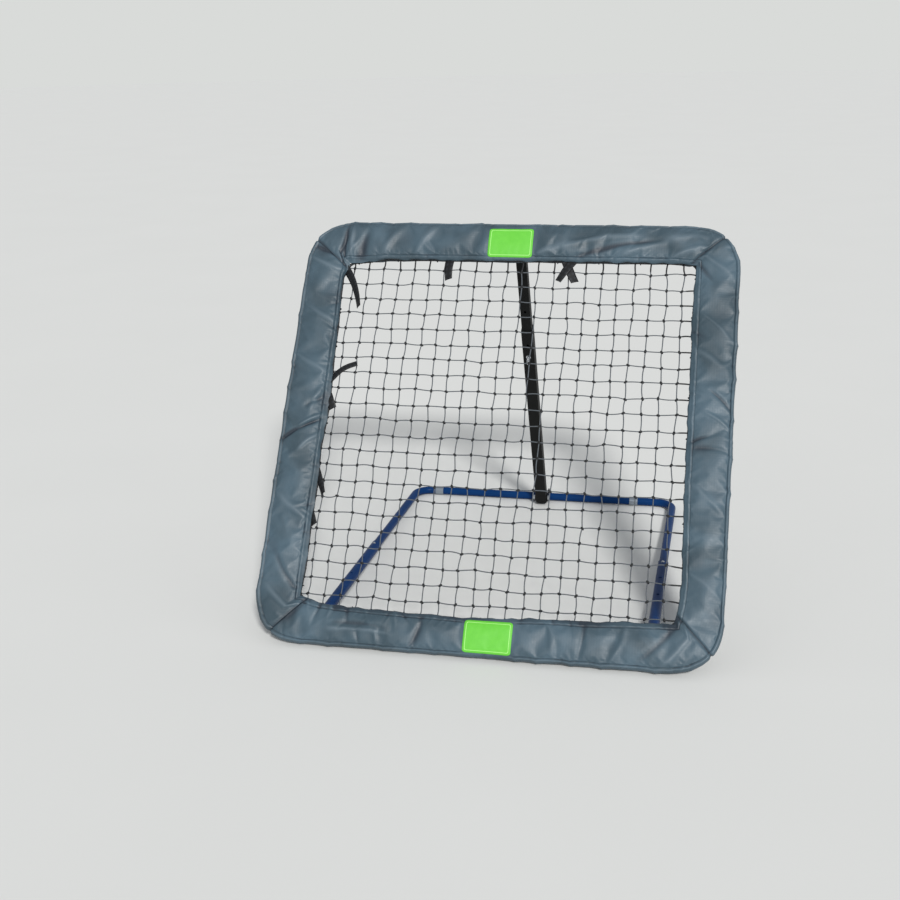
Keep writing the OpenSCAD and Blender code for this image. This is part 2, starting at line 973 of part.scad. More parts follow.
module collar_screw_places() {
  for (x = [left_collar_x, right_collar_x], dx = [-collar_length / 4, collar_length / 4])
    translate([x + dx, base_length, 0])
      rotate([-90, 0, 0])
        children();
}

// Sleeves that join the crossbar to the rear legs
module crossbar_collars() {
  color("#9aa3ad")
    in_base()
      difference() {
        for (x = [left_collar_x, right_collar_x])
          translate([x, base_length, 0])
            tube_x(collar_r, rear_r + 0.05, collar_length);
        collar_screw_places()
          cylinder(r = frame_screw_d / 2 + hole_clearance, h = collar_d);
      }
}

// Grub screws with a hexagon socket, sunk into the collars from behind
module collar_screws() {
  tip = rear_bore_r - 2;
  top = collar_r - 0.4;
  color("#b9bdc2")
    in_base()
      collar_screw_places()
        difference() {
          translate([0, 0, tip])
            cylinder(r = frame_screw_d / 2, h = top - tip);
          translate([0, 0, top - 1.5])
            cylinder(r = frame_screw_d / 4, h = 2, $fn = 6);
        }
}

// ---- Snap buttons -------------------------------------------------------------------------

button_flange_top = 9.2;
button_flange = 1.8;
button_flange_r = 5.5;
module snap_button(x) {
  top = front_leg_r + button_height;
  color("#c3c7cc")
    in_base()
      translate([x, button_position, 0])
        rotate_extrude()
          difference() {
            union() {
              translate([0, button_flange_top - button_flange])
                square([button_flange_r, button_flange]);
              translate([0, button_flange_top - button_flange])
                square([button_r, top - button_r * 0.5 - button_flange_top + button_flange]);
              intersection() {
                translate([0, top - button_r * 1.25])
                  circle(r = button_r * 1.25);
                translate([0, button_flange_top])
                  square([button_r, top - button_flange_top]);
              }
            }
            translate([-button_d * 2, 0])
              square([button_d * 2, 2 * top]);
          }
}

module snap_button_left() {
  snap_button(-leg_x);
}

module snap_button_right() {
  snap_button(leg_x);
}

// Leaf spring in the inner tube: one arm under the button, a bend, one arm on the tube's floor
module button_spring(x) {
  high = button_flange_top - button_flange - 0.1;
  low = -sqrt(pow(rear_bore_r, 2) - pow(spring_width / 2, 2)) + 0.2;
  bend_r = (high - low) / 2;
  reach = 34;
  color("#8d9299")
    in_base()
      translate([x - spring_width / 2, button_position, 0])
        rotate([90, 0, 90])
          linear_extrude(spring_width) {
            translate([-button_flange_r, high - spring_thickness])
              square([reach + button_flange_r, spring_thickness]);
            translate([-2 * button_flange_r, low])
              square([reach + 2 * button_flange_r, spring_thickness]);
            intersection() {
              translate([reach, low + bend_r])
                difference() {
                  circle(r = bend_r);
                  circle(r = bend_r - spring_thickness);
                }
              translate([reach, low])
                square([bend_r + 1, 2 * bend_r]);
            }
          }
}

module button_spring_left() {
  button_spring(-leg_x);
}

module button_spring_right() {
  button_spring(leg_x);
}

// ---- Strut foot ---------------------------------------------------------------------------

// Outline of a foot bracket cheek, from the crossbar at the origin to the pivot in front
module foot_cheek_outline() {
  difference() {
    union() {
      translate([-foot_offset, foot_rise])
        circle(r = 13);
      translate([0, clamp_rise])
        circle(r = clamp_r + 5);
      polygon([
        [-foot_offset - 3, foot_rise - 12.6], [-5, -rear_r + 1], [0, 0], [rear_r - 1, 8],
        [clamp_r + 4, clamp_rise + 2], [-clamp_r, clamp_rise + clamp_r + 3], [-foot_offset - 4, foot_rise + 12]
      ]);
    }
    circle(r = bracket_bore_r);
    translate([-foot_offset, foot_rise])
      circle(r = pivot_r + hole_clearance);
    translate([0, clamp_rise])
      circle(r = clamp_r + hole_clearance);
  }
}

module foot_bracket() {
  color("#1b1d20")
    in_base()
      translate([0, base_length, 0]) {
        for (x = [-foot_cheek_x - plate, foot_cheek_x])
          translate([x, 0, 0])
            rotate([90, 0, 90])
              linear_extrude(plate)
                foot_cheek_outline();
        translate([-foot_cheek_x - plate, -rear_r - plate - 0.1, -3])
          cube([2 * (foot_cheek_x + plate), plate, 14]);
      }
}

module clamp_bolt() {
  color("#b9bdc2")
    in_base()
      translate([0, base_length, clamp_rise])
        cross_bolt(clamp_r, 2 * (foot_cheek_x + plate), clamp_r * 1.8);
}

module clamp_nut() {
  color("#b9bdc2")
    in_base()
      translate([0, base_length, clamp_rise])
        cross_nut(clamp_r, 2 * (foot_cheek_x + plate), clamp_r * 1.8);
}

module foot_bolt() {
  color("#b9bdc2")
    in_base()
      translate([0, foot_y, foot_rise])
        cross_bolt(pivot_r, 2 * (foot_cheek_x + plate), pivot_r * 1.8);
}

module foot_nut() {
  color("#b9bdc2")
    in_base()
      translate([0, foot_y, foot_rise])
        cross_nut(pivot_r, 2 * (foot_cheek_x + plate), pivot_r * 1.8);
}

// ---- Strut --------------------------------------------------------------------------------

module through_hole_y(z, r, side) {
  translate([0, -side, z])
    bar_y(r, 2 * side);
}

module strut_outer_tube() {
  color("#1b1d20")
    in_strut()
      difference() {
        translate([0, 0, -strut_outer_tail])
          square_tube(strut_outer, strut_outer_wall, strut_outer_length + strut_outer_tail);
        bar_x(pivot_r + turning_clearance, 2 * strut_outer);
        through_hole_y(pin_position, pin_r + turning_clearance, strut_outer);
        through_hole_y(second_hole_position, pin_r + turning_clearance, strut_outer);
      }
}

// Plastic guide in the outer tube's mouth, which the inner tube slides through
module strut_guide_bush() {
  length = 24;
  outer = strut_outer - 2 * strut_outer_wall - 2 * hole_clearance;
  inner = strut_inner + 2 * sliding_clearance;
  color("#17181a")
    in_strut()
      translate([0, 0, strut_outer_length - length])
        linear_extrude(length)
          difference() {
            rounded_rectangle(outer, outer, strut_corner - strut_outer_wall);
            rounded_rectangle(inner, inner, strut_corner);
          }
}

// The inner tube: a slot that clears the lock pin over the strut's travel, and the next hole
module strut_inner_tube() {
  slot_r = pin_r + 0.3;
  slot_low = pin_position - slot_below;
  slot_high = pin_position + slot_above;
  color("#1b1d20")
    in_strut()
      difference() {
        translate([0, 0, strut_inner_start])
          square_tube(strut_inner, strut_inner_wall, strut_length + strut_inner_tail - strut_inner_start);
        translate([0, 0, strut_length])
          bar_x(pivot_r + turning_clearance, 2 * strut_inner);
        through_hole_y(strut_length - inner_hole_drop, pin_r, strut_inner);
        through_hole_y(slot_low, slot_r, strut_inner);
        through_hole_y(slot_high, slot_r, strut_inner);
        translate([-slot_r, -strut_inner, slot_low])
          cube([2 * slot_r, 2 * strut_inner, slot_high - slot_low]);
      }
}

// Plastic plug on the inner tube's lower end, which glides in the outer tube
module strut_glide() {
  cap = 8;
  spigot = 10;
  outer = strut_outer - 2 * strut_outer_wall - 2 * sliding_clearance;
  inner = strut_inner - 2 * strut_inner_wall - 2 * hole_clearance;
  color("#17181a")
    in_strut()
      translate([0, 0, strut_inner_start - cap]) {
        linear_extrude(cap)
          rounded_rectangle(outer, outer, strut_corner - strut_outer_wall);
        translate([0, 0, cap])
          linear_extrude(spigot)
            rounded_rectangle(inner, inner, strut_corner - strut_inner_wall);
      }
}

// Lock pin: a tapered shank, a round head and a flat lug with the hole for the ring
module lock_pin() {
  lug_r = ring_hole_r + 1.8;
  tip_y = strut_outer / 2 + pin_reach;
  color("#c3c7cc")
    in_strut()
      translate([0, 0, pin_position])
        difference() {
          union() {
            translate([0, pin_head_y - pin_head_height, 0])
              bar_y(pin_head_r, pin_head_height);
            translate([0, pin_head_y - 0.5, 0])
              bar_y(pin_r, tip_y - pin_head_y + 0.5);
            translate([0, tip_y, 0])
              rotate([-90, 0, 0])
                cylinder(r1 = pin_r, r2 = pin_r * 0.5, h = 3);
            translate([0, ring_y, -pin_lug_half])
              cylinder(r = lug_r, h = 2 * pin_lug_half);
            translate([-lug_r, ring_y, -pin_lug_half])
              cube([2 * lug_r, pin_head_y - 1 - ring_y, 2 * pin_lug_half]);
          }
          translate([0, ring_y, 0])
            cylinder(r = ring_hole_r, h = 4 * pin_lug_half, center = true);
        }
}

// Pull ring: it hangs forward through the lug's hole
module pull_ring() {
  color("#b9bdc2")
    in_strut()
      translate([0, ring_y - ring_d / 2, pin_position])
        rotate([0, 90, 0])
          rotate_extrude()
            translate([ring_d / 2, 0])
              circle(r = ring_wire / 2);
}

frame_corner_top_left();
frame_corner_top_right();
frame_corner_bottom_right();
frame_corner_bottom_left();
frame_top_tube();
frame_bottom_tube();
frame_left_tube();
frame_right_tube();
frame_screws();
pad_top();
pad_right();
pad_bottom();
pad_left();
foam_top();
foam_right();
foam_bottom();
foam_left();
label_top();
label_bottom();
pad_ties();
net();
net_border_rope();
net_elastic_loops();
head_bracket();
head_bolt();
head_nut();
front_leg_left();
front_leg_right();
leg_guide_bushes();
rear_leg_left();
rear_leg_right();
crossbar();
crossbar_collars();
collar_screws();
button_spring_left();
button_spring_right();
snap_button_left();
snap_button_right();
foot_bracket();
clamp_bolt();
clamp_nut();
foot_bolt();
foot_nut();
strut_outer_tube();
strut_guide_bush();
strut_inner_tube();
strut_glide();
lock_pin();
pull_ring();
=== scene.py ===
"""Pitch back rebounder: the looks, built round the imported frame.

Row frame, in metres: +X right, +Y away from the player, +Z up, origin on the floor.
"""
import math

import bpy
import numpy as np
from mathutils import Euler, Matrix, Vector


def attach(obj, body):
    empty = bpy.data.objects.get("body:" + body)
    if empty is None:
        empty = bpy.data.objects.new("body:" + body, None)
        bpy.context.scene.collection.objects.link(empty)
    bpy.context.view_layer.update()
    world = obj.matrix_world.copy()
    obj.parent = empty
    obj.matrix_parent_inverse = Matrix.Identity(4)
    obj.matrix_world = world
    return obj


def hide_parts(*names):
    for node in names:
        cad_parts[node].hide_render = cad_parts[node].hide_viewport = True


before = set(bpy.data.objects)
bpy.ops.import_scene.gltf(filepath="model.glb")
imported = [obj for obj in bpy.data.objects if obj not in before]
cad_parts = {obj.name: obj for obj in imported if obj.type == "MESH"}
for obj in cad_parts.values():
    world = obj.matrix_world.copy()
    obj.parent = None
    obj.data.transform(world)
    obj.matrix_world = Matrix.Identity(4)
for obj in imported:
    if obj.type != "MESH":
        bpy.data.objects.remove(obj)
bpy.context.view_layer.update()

scene = bpy.context.scene
random = np.random.default_rng(7)


# ---- View, light and floor ----
# The player's view, from the front and a little to the right. A soft distant key shines from
# high on the right in front, a wide pale sky fills the shadows, and the floor is plain.

CAMERA_PLACE = Vector((0.58860, -3.50245, 1.54935))
# Degrees about X, Y and Z
CAMERA_TURN = (71.724, 1.131, 12.185)
camera_data = bpy.data.cameras.new("camera")
camera_data.lens = 51.32
camera_data.sensor_width = 36
camera_data.clip_end = 200
camera = bpy.data.objects.new("camera", camera_data)
camera_turn = Euler([math.radians(angle) for angle in CAMERA_TURN])
camera.matrix_world = Matrix.LocRotScale(CAMERA_PLACE, camera_turn, None)
scene.collection.objects.link(camera)
scene.camera = camera

KEY_DIRECTION = (0.34, -0.78, 0.60)
key_data = bpy.data.lights.new("key", "SUN")
key_data.energy = 2.9
key_data.angle = math.radians(9)
key_data.color = (1, 0.985, 0.965)
key = bpy.data.objects.new("key", key_data)
key.rotation_mode = "QUATERNION"
key.rotation_quaternion = Vector(KEY_DIRECTION).to_track_quat("Z", "Y")
scene.collection.objects.link(key)


def linear(code):
    """An sRGB hex colour as linear red, green, blue and alpha 1."""
    channels = [int(code[i:i + 2], 16) / 255 for i in (1, 3, 5)]
    return [c / 12.92 if c <= 0.04045 else ((c + 0.055) / 1.055) ** 2.4 for c in channels] + [1]


def feed(tree, node, inputs):
    """Sets a node's inputs, named or numbered, or links them to the outputs of other nodes."""
    for name, value in inputs.items():
        if isinstance(value, bpy.types.NodeSocket):
            tree.links.new(value, node.inputs[name])
        else:
            node.inputs[name].default_value = value


def add(tree, kind, inputs=None, **settings):
    """Adds a node with its settings, and feeds its inputs."""
    node = tree.nodes.new(kind)
    for name, value in settings.items():
        setattr(node, name, value)
    feed(tree, node, inputs or {})
    return node


def new_material(name):
    """A material with an empty tree but for its shader and output: material, tree and shader."""
    material = bpy.data.materials.new(name)
    material.use_nodes = True
    tree = material.node_tree
    return material, tree, tree.nodes["Principled BSDF"]


def object_place(tree):
    """The shaded point in the object's own metres."""
    return add(tree, "ShaderNodeTexCoord").outputs["Object"]


def noise(tree, place, scale, detail, **inputs):
    """The height of a noise texture at a place, from 0 to 1."""
    inputs = {"Vector": place, "Scale": scale, "Detail": detail, **inputs}
    return add(tree, "ShaderNodeTexNoise", inputs).outputs[0]


def waves(tree, place, step, axis, distortion=0.0):
    """Waves along an axis, one every 2 pi steps: the sine of the place over the step, which
    Blender writes as 20 times its scale."""
    inputs = {"Vector": place, "Scale": 1 / step / 20, "Distortion": distortion}
    return add(tree, "ShaderNodeTexWave", inputs, bands_direction=axis).outputs["Fac"]


def maths(tree, operation, *values):
    """The result of an operation on values, each a number or the output of another node."""
    return add(tree, "ShaderNodeMath", dict(enumerate(values)), operation=operation).outputs[0]


def ramp(tree, value, start, end, low, high):
    """Low where value is at start, high where it is at end, straight between and held beyond."""
    return add(tree, "ShaderNodeMapRange", {0: value, 1: start, 2: end, 3: low, 4: high}).outputs[0]


def between(tree, share, low, high):
    """A colour from low to high by share. Each is a hex colour or another node's colour."""
    low, high = [linear(colour) if isinstance(colour, str) else colour for colour in (low, high)]
    return add(tree, "ShaderNodeMix", {0: share, 6: low, 7: high}, data_type="RGBA").outputs[2]


def bump(tree, shader, height, strength, distance, **inputs):
    """Gives a shader a bump by a height, and returns the bump's normal."""
    inputs = {"Height": height, "Strength": strength, "Distance": distance, **inputs}
    normal = add(tree, "ShaderNodeBump", inputs).outputs[0]
    feed(tree, shader, {"Normal": normal})
    return normal


world = bpy.data.worlds.new("studio")
world.use_nodes = True
sky = world.node_tree
sky.nodes.clear()
rays = add(sky, "ShaderNodeLightPath").outputs
seen = maths(sky, "MAXIMUM", rays["Is Camera Ray"], rays["Is Transmission Ray"])
fill = add(sky, "ShaderNodeBackground", {"Color": linear("#edf0f4"), "Strength": 0.5}).outputs[0]
backdrop = add(sky, "ShaderNodeBackground", {"Color": linear("#d9dbd9"), "Strength": 1}).outputs[0]
shown = add(sky, "ShaderNodeMixShader", {0: seen, 1: fill, 2: backdrop}).outputs[0]
add(sky, "ShaderNodeOutputWorld", {"Surface": shown})
scene.world = world
scene.view_settings.view_transform = "Standard"

FLOOR_REACH = 40
FLOOR_SIDES = 64
FLOOR_DROP = 0.0012
floor_mesh = bpy.data.meshes.new("floor")
turns = np.linspace(0, 2 * math.pi, FLOOR_SIDES, endpoint=False)
rim = np.stack([FLOOR_REACH * np.cos(turns), FLOOR_REACH * np.sin(turns), 0 * turns - FLOOR_DROP], 1)
floor_mesh.from_pydata(rim.tolist(), [], [list(range(FLOOR_SIDES))])
floor = bpy.data.objects.new("floor", floor_mesh)
scene.collection.objects.link(floor)
floor_paint, tree, shader = new_material("matt_floor_paint")
mottle = noise(tree, object_place(tree), 1.5, 2)
feed(tree, shader, {"Base Color": between(tree, mottle, "#dddedc", "#e0e1df"), "Roughness": 0.9})
floor_mesh.materials.append(floor_paint)


# ---- Pads ----
# Four mitred covers of PVC-coated polyester round foam bars on the panel's tube frame. The front
# is one wide cloth, sewn to the edge strips along a puckered inner seam and a corded outer seam,
# and the covers meet in sewn mitres.

PANEL_SIZE = 1.240
PAD_WIDTH = 0.123
PAD_THICKNESS = 0.046
CORNER_RADIUS = 0.135
SECTION_POWER = 3
HALF_PAD = PAD_WIDTH / 2
HALF_THICKNESS = PAD_THICKNESS / 2
HALF_SPAN = PANEL_SIZE / 2 - HALF_PAD
MITRE_GAP = 0.0004
TILT = math.radians(36)
HINGE_Y = -0.562396
HINGE_Z = 0.0537968
PANEL_FACING = np.array([0, -math.cos(TILT), math.sin(TILT)])
TOP, RIGHT, BOTTOM, LEFT = SIDES = range(4)
SIDE_NAMES = ["top", "right", "bottom", "left"]


def panel_points(x, out, up):
    """Row frame points of panel places: across, out towards the player, and up from the hinge."""
    back = -np.asarray(out)
    y = HINGE_Y + back * math.cos(TILT) + up * math.sin(TILT)
    z = HINGE_Z - back * math.sin(TILT) + up * math.cos(TILT)
    return np.stack(np.broadcast_arrays(x, y, z), -1)


def side_points(side, x, out, d):
    """Row frame points of places on a side: along it, out, and away from the panel's centre."""
    turn = math.pi / 2 * side
    return panel_points(x * math.cos(turn) + d * math.sin(turn), out,
                        HALF_SPAN - x * math.sin(turn) + d * math.cos(turn))


def outline(t):
    """Distance from the centre to the rounded square, at slope t from the middle of a side: the
    half side, or the far root of the circle about the corner's centre."""
    centre = PANEL_SIZE / 2 - CORNER_RADIUS
    a = centre * (1 + np.abs(t))
    root = np.maximum(a * a - (1 + t * t) * (2 * centre ** 2 - CORNER_RADIUS ** 2), 0)
    return np.where(np.abs(t) <= centre / (PANEL_SIZE / 2), PANEL_SIZE / 2,
                    (a + np.sqrt(root)) / (1 + t * t))


def ridge(value, width):
    """A bell of height 1: e to the minus square of value over width."""
    return np.exp(-(value / width) ** 2)


def step_up(value, width):
    """An S-shaped step from 0 to 1: one over 1 plus e to the minus value over width."""
    return 1 / (1 + np.exp(-value / width))


# Each fold in millimetres: start along and across the pad, end along and across, half width and
# height. Along is measured from the side's middle, across from the pad's axis, outwards
FOLDS = {
    TOP: [
        (-521, -58, -501, 9, 5, -3.6), (-497, -58, -465, -4, 5.5, 3.6), (-501, -58, -502, 42, 5, -3.4),
        (-480, -58, -484, 35, 6, 3.4), (-452, -55, -440, 20, 13, -2.6), (-385, -45, -350, 30, 10, 2),
        (60, -40, 330, 22, 10, 3), (170, -50, 420, 5, 9, -2.6), (300, -42, 520, 30, 11, 2.8),
        (430, -52, 560, 10, 8, 2.6), (500, -56, 575, 35, 7, -2.6), (-290, -45, -250, 30, 9, 2),
    ],
    RIGHT: [
        (-540, -55, -470, 30, 8, 2.4), (-500, -55, -440, -10, 7, -2), (-345, -30, -285, 34, 4, 2.2),
        (-250, -56, -200, 20, 9, 2), (-126, 0, -84, 46, 5, -3), (-66, -10, -26, 50, 5, 3),
        (12, -48, -2, -8, 4.5, -3), (30, -40, 36, 48, 7, -2), (120, -56, 190, 25, 9, 1.8),
        (360, -50, 420, 40, 9, 2), (470, -55, 550, 30, 8, 2.4), (520, -58, 590, 5, 6, -2.2),
    ],
    BOTTOM: [
        (-560, -50, -470, 45, 8, 2.4), (-500, -55, -420, 30, 8, -2), (-380, -55, -340, 50, 8, 2),
        (-270, -55, -260, 50, 7, -2.2), (-180, -55, -195, 50, 8, 1.8), (150, -55, 175, 50, 8, -2.2),
        (400, 12, 235, 12, 7, 3), (390, -8, 250, -6, 8, -2.2), (225, -60, 222, -26, 5, 2.4),
        (357, -60, 352, -26, 5, -2.8), (400, -60, 404, -30, 5, 2.6), (430, -60, 440, -20, 5, -2.8),
        (320, 20, 316, 50, 5, -2.2), (270, 18, 268, 50, 5, 2), (470, -55, 560, 40, 8, -2.2),
        (520, -58, 585, 10, 7, 2.6),
    ],
    LEFT: [
        (-550, -52, -470, 30, 9, 2.4), (-480, -55, -390, 10, 8, -1.8), (-280, -55, -220, 30, 9, 2),
        (-84, -7, -45, -46, 6, 3.2), (-54, 46, 0, -46, 6, -3.6), (-24, 6, 14, -48, 6, 3.2),
        (45, -15, 66, -46, 7, -2.2), (28, -22, 94, -44, 8, 2.6), (150, -45, 190, 35, 9, 2),
        (300, -55, 340, 20, 9, 2), (460, -55, 500, 45, 8, 2.6), (505, -55, 535, 45, 7, -2.4),
    ],
}
INNER_SEAM = [-0.0514, -0.0465, -0.0473, -0.0540]
OUTER_SEAM = [0.0520, 0.0520, 0.0515, 0.0475]
SEAM_HALF_WIDTH = 0.0014
# A bead stands inside the inner seam, and a cord beyond the outer seam's groove. Widths are halves
BEAD_HEIGHT, BEAD_WAVE, BEAD_PLACE, BEAD_WIDTH = 0.0009, 0.0005, 0.0050, 0.0028
CORD_HEIGHT, CORD_PLACE, CORD_WIDTH = 0.0021, 0.0040, 0.0024
GROOVE_DEPTH, GROOVE_WIDTH = 0.0022, 0.0013
BACK_SEAM, BACK_SEAM_DEPTH = 0.046, 0.0014

# Where the sewn patches hold the cloth flat: along the side, and across the pad
PATCHES = {TOP: (-0.020, -0.005), BOTTOM: (-0.026, 0.008)}
PATCH_WIDTH = 0.127
PATCH_HEIGHT = 0.089
PATCH_MARGIN = 0.004
PATCH_EASE = 0.003
PATCH_HOLD = 0.82

# Places of the small tucks along each pad's edges. A tuck in the lip lies further along
TUCKS = [
    [-0.52, -0.44, -0.37, -0.29, -0.17, -0.10, 0.04, 0.11, 0.24, 0.31, 0.42, 0.50],
    [-0.54, -0.47, -0.33, -0.24, -0.155, -0.05, 0.045, 0.13, 0.26, 0.35, 0.44, 0.53],
    [-0.54, -0.50, -0.41, -0.29, -0.22, -0.14, -0.09, 0.10, 0.16, 0.225, 0.36, 0.43],
    [-0.53, -0.44, -0.35, -0.24, -0.16, -0.054, 0.02, 0.09, 0.16, 0.29, 0.41, 0.52],
]
TUCK_DEPTHS = [random.uniform(0.5, 1.1, 12) for _ in SIDES]
TUCK_REACH = 0.0035
LIP_TUCK_SHIFT = 0.031

# Pinches that the seams draw up, in turn at the inner and at the outer one
PINCH_COUNT = 120
PINCHES = [np.cumsum(random.uniform(0.010, 0.034, PINCH_COUNT)) % 1.3 - 0.65 for _ in SIDES]
PINCH_HEIGHTS = [random.uniform(-1.2, 1.4, PINCH_COUNT) * random.uniform(0, 1, PINCH_COUNT) ** 2
                 for _ in SIDES]
PINCH_LEANS = [random.uniform(-0.8, 0.8, PINCH_COUNT) for _ in SIDES]
PINCH_WIDTH = 0.0042
PINCH_REACH = [0.014, 0.012]

# Phases of the swells and ripples, and for each side the height of its pinches, the painted shade
# of its hem, the strength of its folds, and how far its edges are drawn in between the tucks
SWELLS = [random.uniform(0, 2 * math.pi, 12) for _ in SIDES]
SWELL_HEIGHT = 0.0007
PUCKER = [0.0015, 0.0019, 0.0020, 0.0018]
HEM_SHADE = [0.0004, 0.0000, 0.0022, 0.0013]
FOLD_STRENGTH = [1.35, 1.0, 1.05, 1.5]
FOLD_BOW = 0.036
SEAM_DEPTH = 0.0016
DRAW_IN = [0.0026, 0.0028, 0.0036, 0.0032]

# The covers' inner edges have sagged with use: millimetres along the side, and across the pad.
# At slope 1 the edge is at EDGE_SPAN along. The lip reaches at least LEAST_REACH past the padding
INNER_EDGE = [
    [(-486, -72.5), (-466, -71), (-422, -66), (-376, -59.5), (-300, -58.5), (0, -57), (260, -56),
     (456, -56), (498, -60.5)],
    [(-498, -60.5), (-362, -66), (-258, -63), (-154, -62), (-54, -61.5), (44, -61), (142, -60),
     (280, -56), (386, -53.5), (458, -58), (494, -64.5)],
    [(-494, -64.5), (-416, -65), (-260, -56.5), (-162, -55), (-104, -51), (26, -43), (212, -45),
     (364, -49), (430, -54), (492, -66.5)],
    [(-492, -66.5), (-420, -72), (-360, -71), (-296, -69.5), (-230, -70), (-172, -72), (-78, -66),
     (6, -71), (52, -73), (134, -70), (216, -65.5), (288, -66), (360, -61.5), (446, -60), (486, -72.5)],
]
EDGE_SPAN = 0.4985
LEAST_REACH = 0.0025

# The mitre at each side's start has slid round the corner: by this slope at its inner and outer end
MITRE_SLIDE = [(0.044, 0.062), (0.032, 0.017), (0.056, 0.041), (0.056, 0.052)]
SLIDE_REACH = 0.15
MITRE_EASE = 0.20
MITRE_DEPTH = 0.0030
MITRE_HALF_WIDTH = 0.0042


def on_side(side, slope, value):
    """A side's value at a slope, or its neighbour's where the slope passes 1 or -1: value is
    called with a side and with the slope on it."""
    over, under = slope > 1, slope < -1
    own = slope - 2.0 * over + 2.0 * under
    after, before = value((side + 1) % 4, own), value((side - 1) % 4, own)
    return np.where(over, after, np.where(under, before, value(side, own)))


def edge_line(side, slope):
    """Place across the pad of its cover's inner edge: straight between the measured places."""
    places, edges = np.transpose(INNER_EDGE[side]) / 1000
    return np.interp(EDGE_SPAN * slope, places, edges)


def slid(side, t, across):
    """Slope after the mitres' slide, which falls off as e to the minus distance from each end."""
    share = np.clip(across / PAD_WIDTH + 0.5, 0, 1)
    start, end = MITRE_SLIDE[side], MITRE_SLIDE[(side + 1) % 4]
    return (t - (start[0] + (start[1] - start[0]) * share) * np.exp(-(1 + t) / SLIDE_REACH)
            - (end[0] + (end[1] - end[0]) * share) * np.exp(-(1 - t) / SLIDE_REACH))


def tuck_depth(side, x, reach=0.010, shift=0.0):
    """Sum of sharp notches, each falling off as e to the minus distance over its reach."""
    return sum(depth * np.exp(-np.abs(x - place - shift) / reach)
               for place, depth in zip(TUCKS[side], TUCK_DEPTHS[side]))


def pad_relief(side, x, across, front):
    """Height of the cloth over the plain section: slow swells, listed folds, seam grooves with
    the pinches they draw up, the raised hems beyond the seams, and the tucks across those."""
    phases = SWELLS[side]
    swell = SWELL_HEIGHT * (np.sin(21 * x + phases[0]) * np.sin(38 * across + phases[1])
                            + 0.7 * np.sin(37 * x + 30 * across + phases[2])
                            + 0.5 * np.sin(64 * x - 45 * across + phases[3]))
    face = 0
    for x0, a0, x1, a1, width, rise in np.array(FOLDS[side]) / 1000:
        length = math.hypot(x1 - x0, a1 - a0)
        ux, ua = (x1 - x0) / length, (a1 - a0) / length
        along = (x - x0) * ux + (across - a0) * ua
        off = (across - a0) * ux - (x - x0) * ua
        bow = FOLD_BOW * length * np.sin(math.pi * np.clip(along / length, 0, 1))
        fade = step_up(along + 0.004, 0.006) * step_up(length - along, 0.010)
        face = face + FOLD_STRENGTH[side] * rise * fade * ridge(off - bow, width)
    seams = INNER_SEAM[side], OUTER_SEAM[side]
    near = [np.exp(-np.abs(across - seam) / reach) for seam, reach in zip(seams, PINCH_REACH)]
    pinches = zip(PINCHES[side], PINCH_HEIGHTS[side], PINCH_LEANS[side])
    for count, (place, rise, lean) in enumerate(pinches):
        at = x - place - lean * (across - seams[count % 2])
        face = face + PUCKER[side] * rise * near[count % 2] * ridge(at, PINCH_WIDTH)
    within, beyond = across - seams[0], across - seams[1]
    bead = BEAD_HEIGHT + BEAD_WAVE * np.sin(190 * x + phases[7]) * np.sin(83 * x + phases[8])
    face = face + bead * ridge(within + BEAD_PLACE, BEAD_WIDTH)
    face = face + CORD_HEIGHT * ridge(beyond - CORD_PLACE, CORD_WIDTH)
    face = face - GROOVE_DEPTH * ridge(beyond, GROOVE_WIDTH)
    groove = ridge(within, SEAM_HALF_WIDTH)
    crossing = tuck_depth(side, x, TUCK_REACH) * ridge(beyond - CORD_PLACE, 0.008)
    crossing = crossing + (tuck_depth(side, x, TUCK_REACH, LIP_TUCK_SHIFT)
                           * ridge(across + HALF_PAD - 0.002, 0.010))
    behind = 0.0012 * np.sin(17 * x + phases[6]) * np.cos(26 * across)
    behind = behind - BACK_SEAM_DEPTH * ridge(np.abs(across) - BACK_SEAM, GROOVE_WIDTH)
    return swell + np.where(front, face - SEAM_DEPTH * (groove + crossing),
                            behind - 0.0008 * groove - 0.0006 * crossing)


def held_flat(side, x, across):
    """Share of the relief left by a sewn patch: about a fifth inside it, and all of it outside,
    with an S-shaped step along its edge."""
    if side not in PATCHES:
        return 1.0
    place_x, place_across = PATCHES[side]
    wide = step_up(PATCH_WIDTH / 2 + PATCH_MARGIN - np.abs(x - place_x), PATCH_EASE)
    high = step_up(PATCH_HEIGHT / 2 + PATCH_MARGIN - np.abs(across - place_across), PATCH_EASE)
    return 1 - PATCH_HOLD * wide * high


# Openings in the backs, each with a bound rim: for the legs' sleeves in the bottom pad, and for
# the head bracket in the top pad. Centre along the side, half width. A leg swings between its
# low and its high angle to the panel
LEG_OPENINGS = [(-0.438, 0.026), (0.438, 0.026)]
BRACKET_OPENING = (0.0, 0.0194)
SLEEVE_ROOM = 0.01816
BRACKET_ROOM = 0.0175
RIM_HEIGHT, RIM_PLACE, RIM_WIDTH = 0.0011, 0.005, 0.003
LEG_LOW = math.radians(12)
LEG_HIGH = math.radians(50)


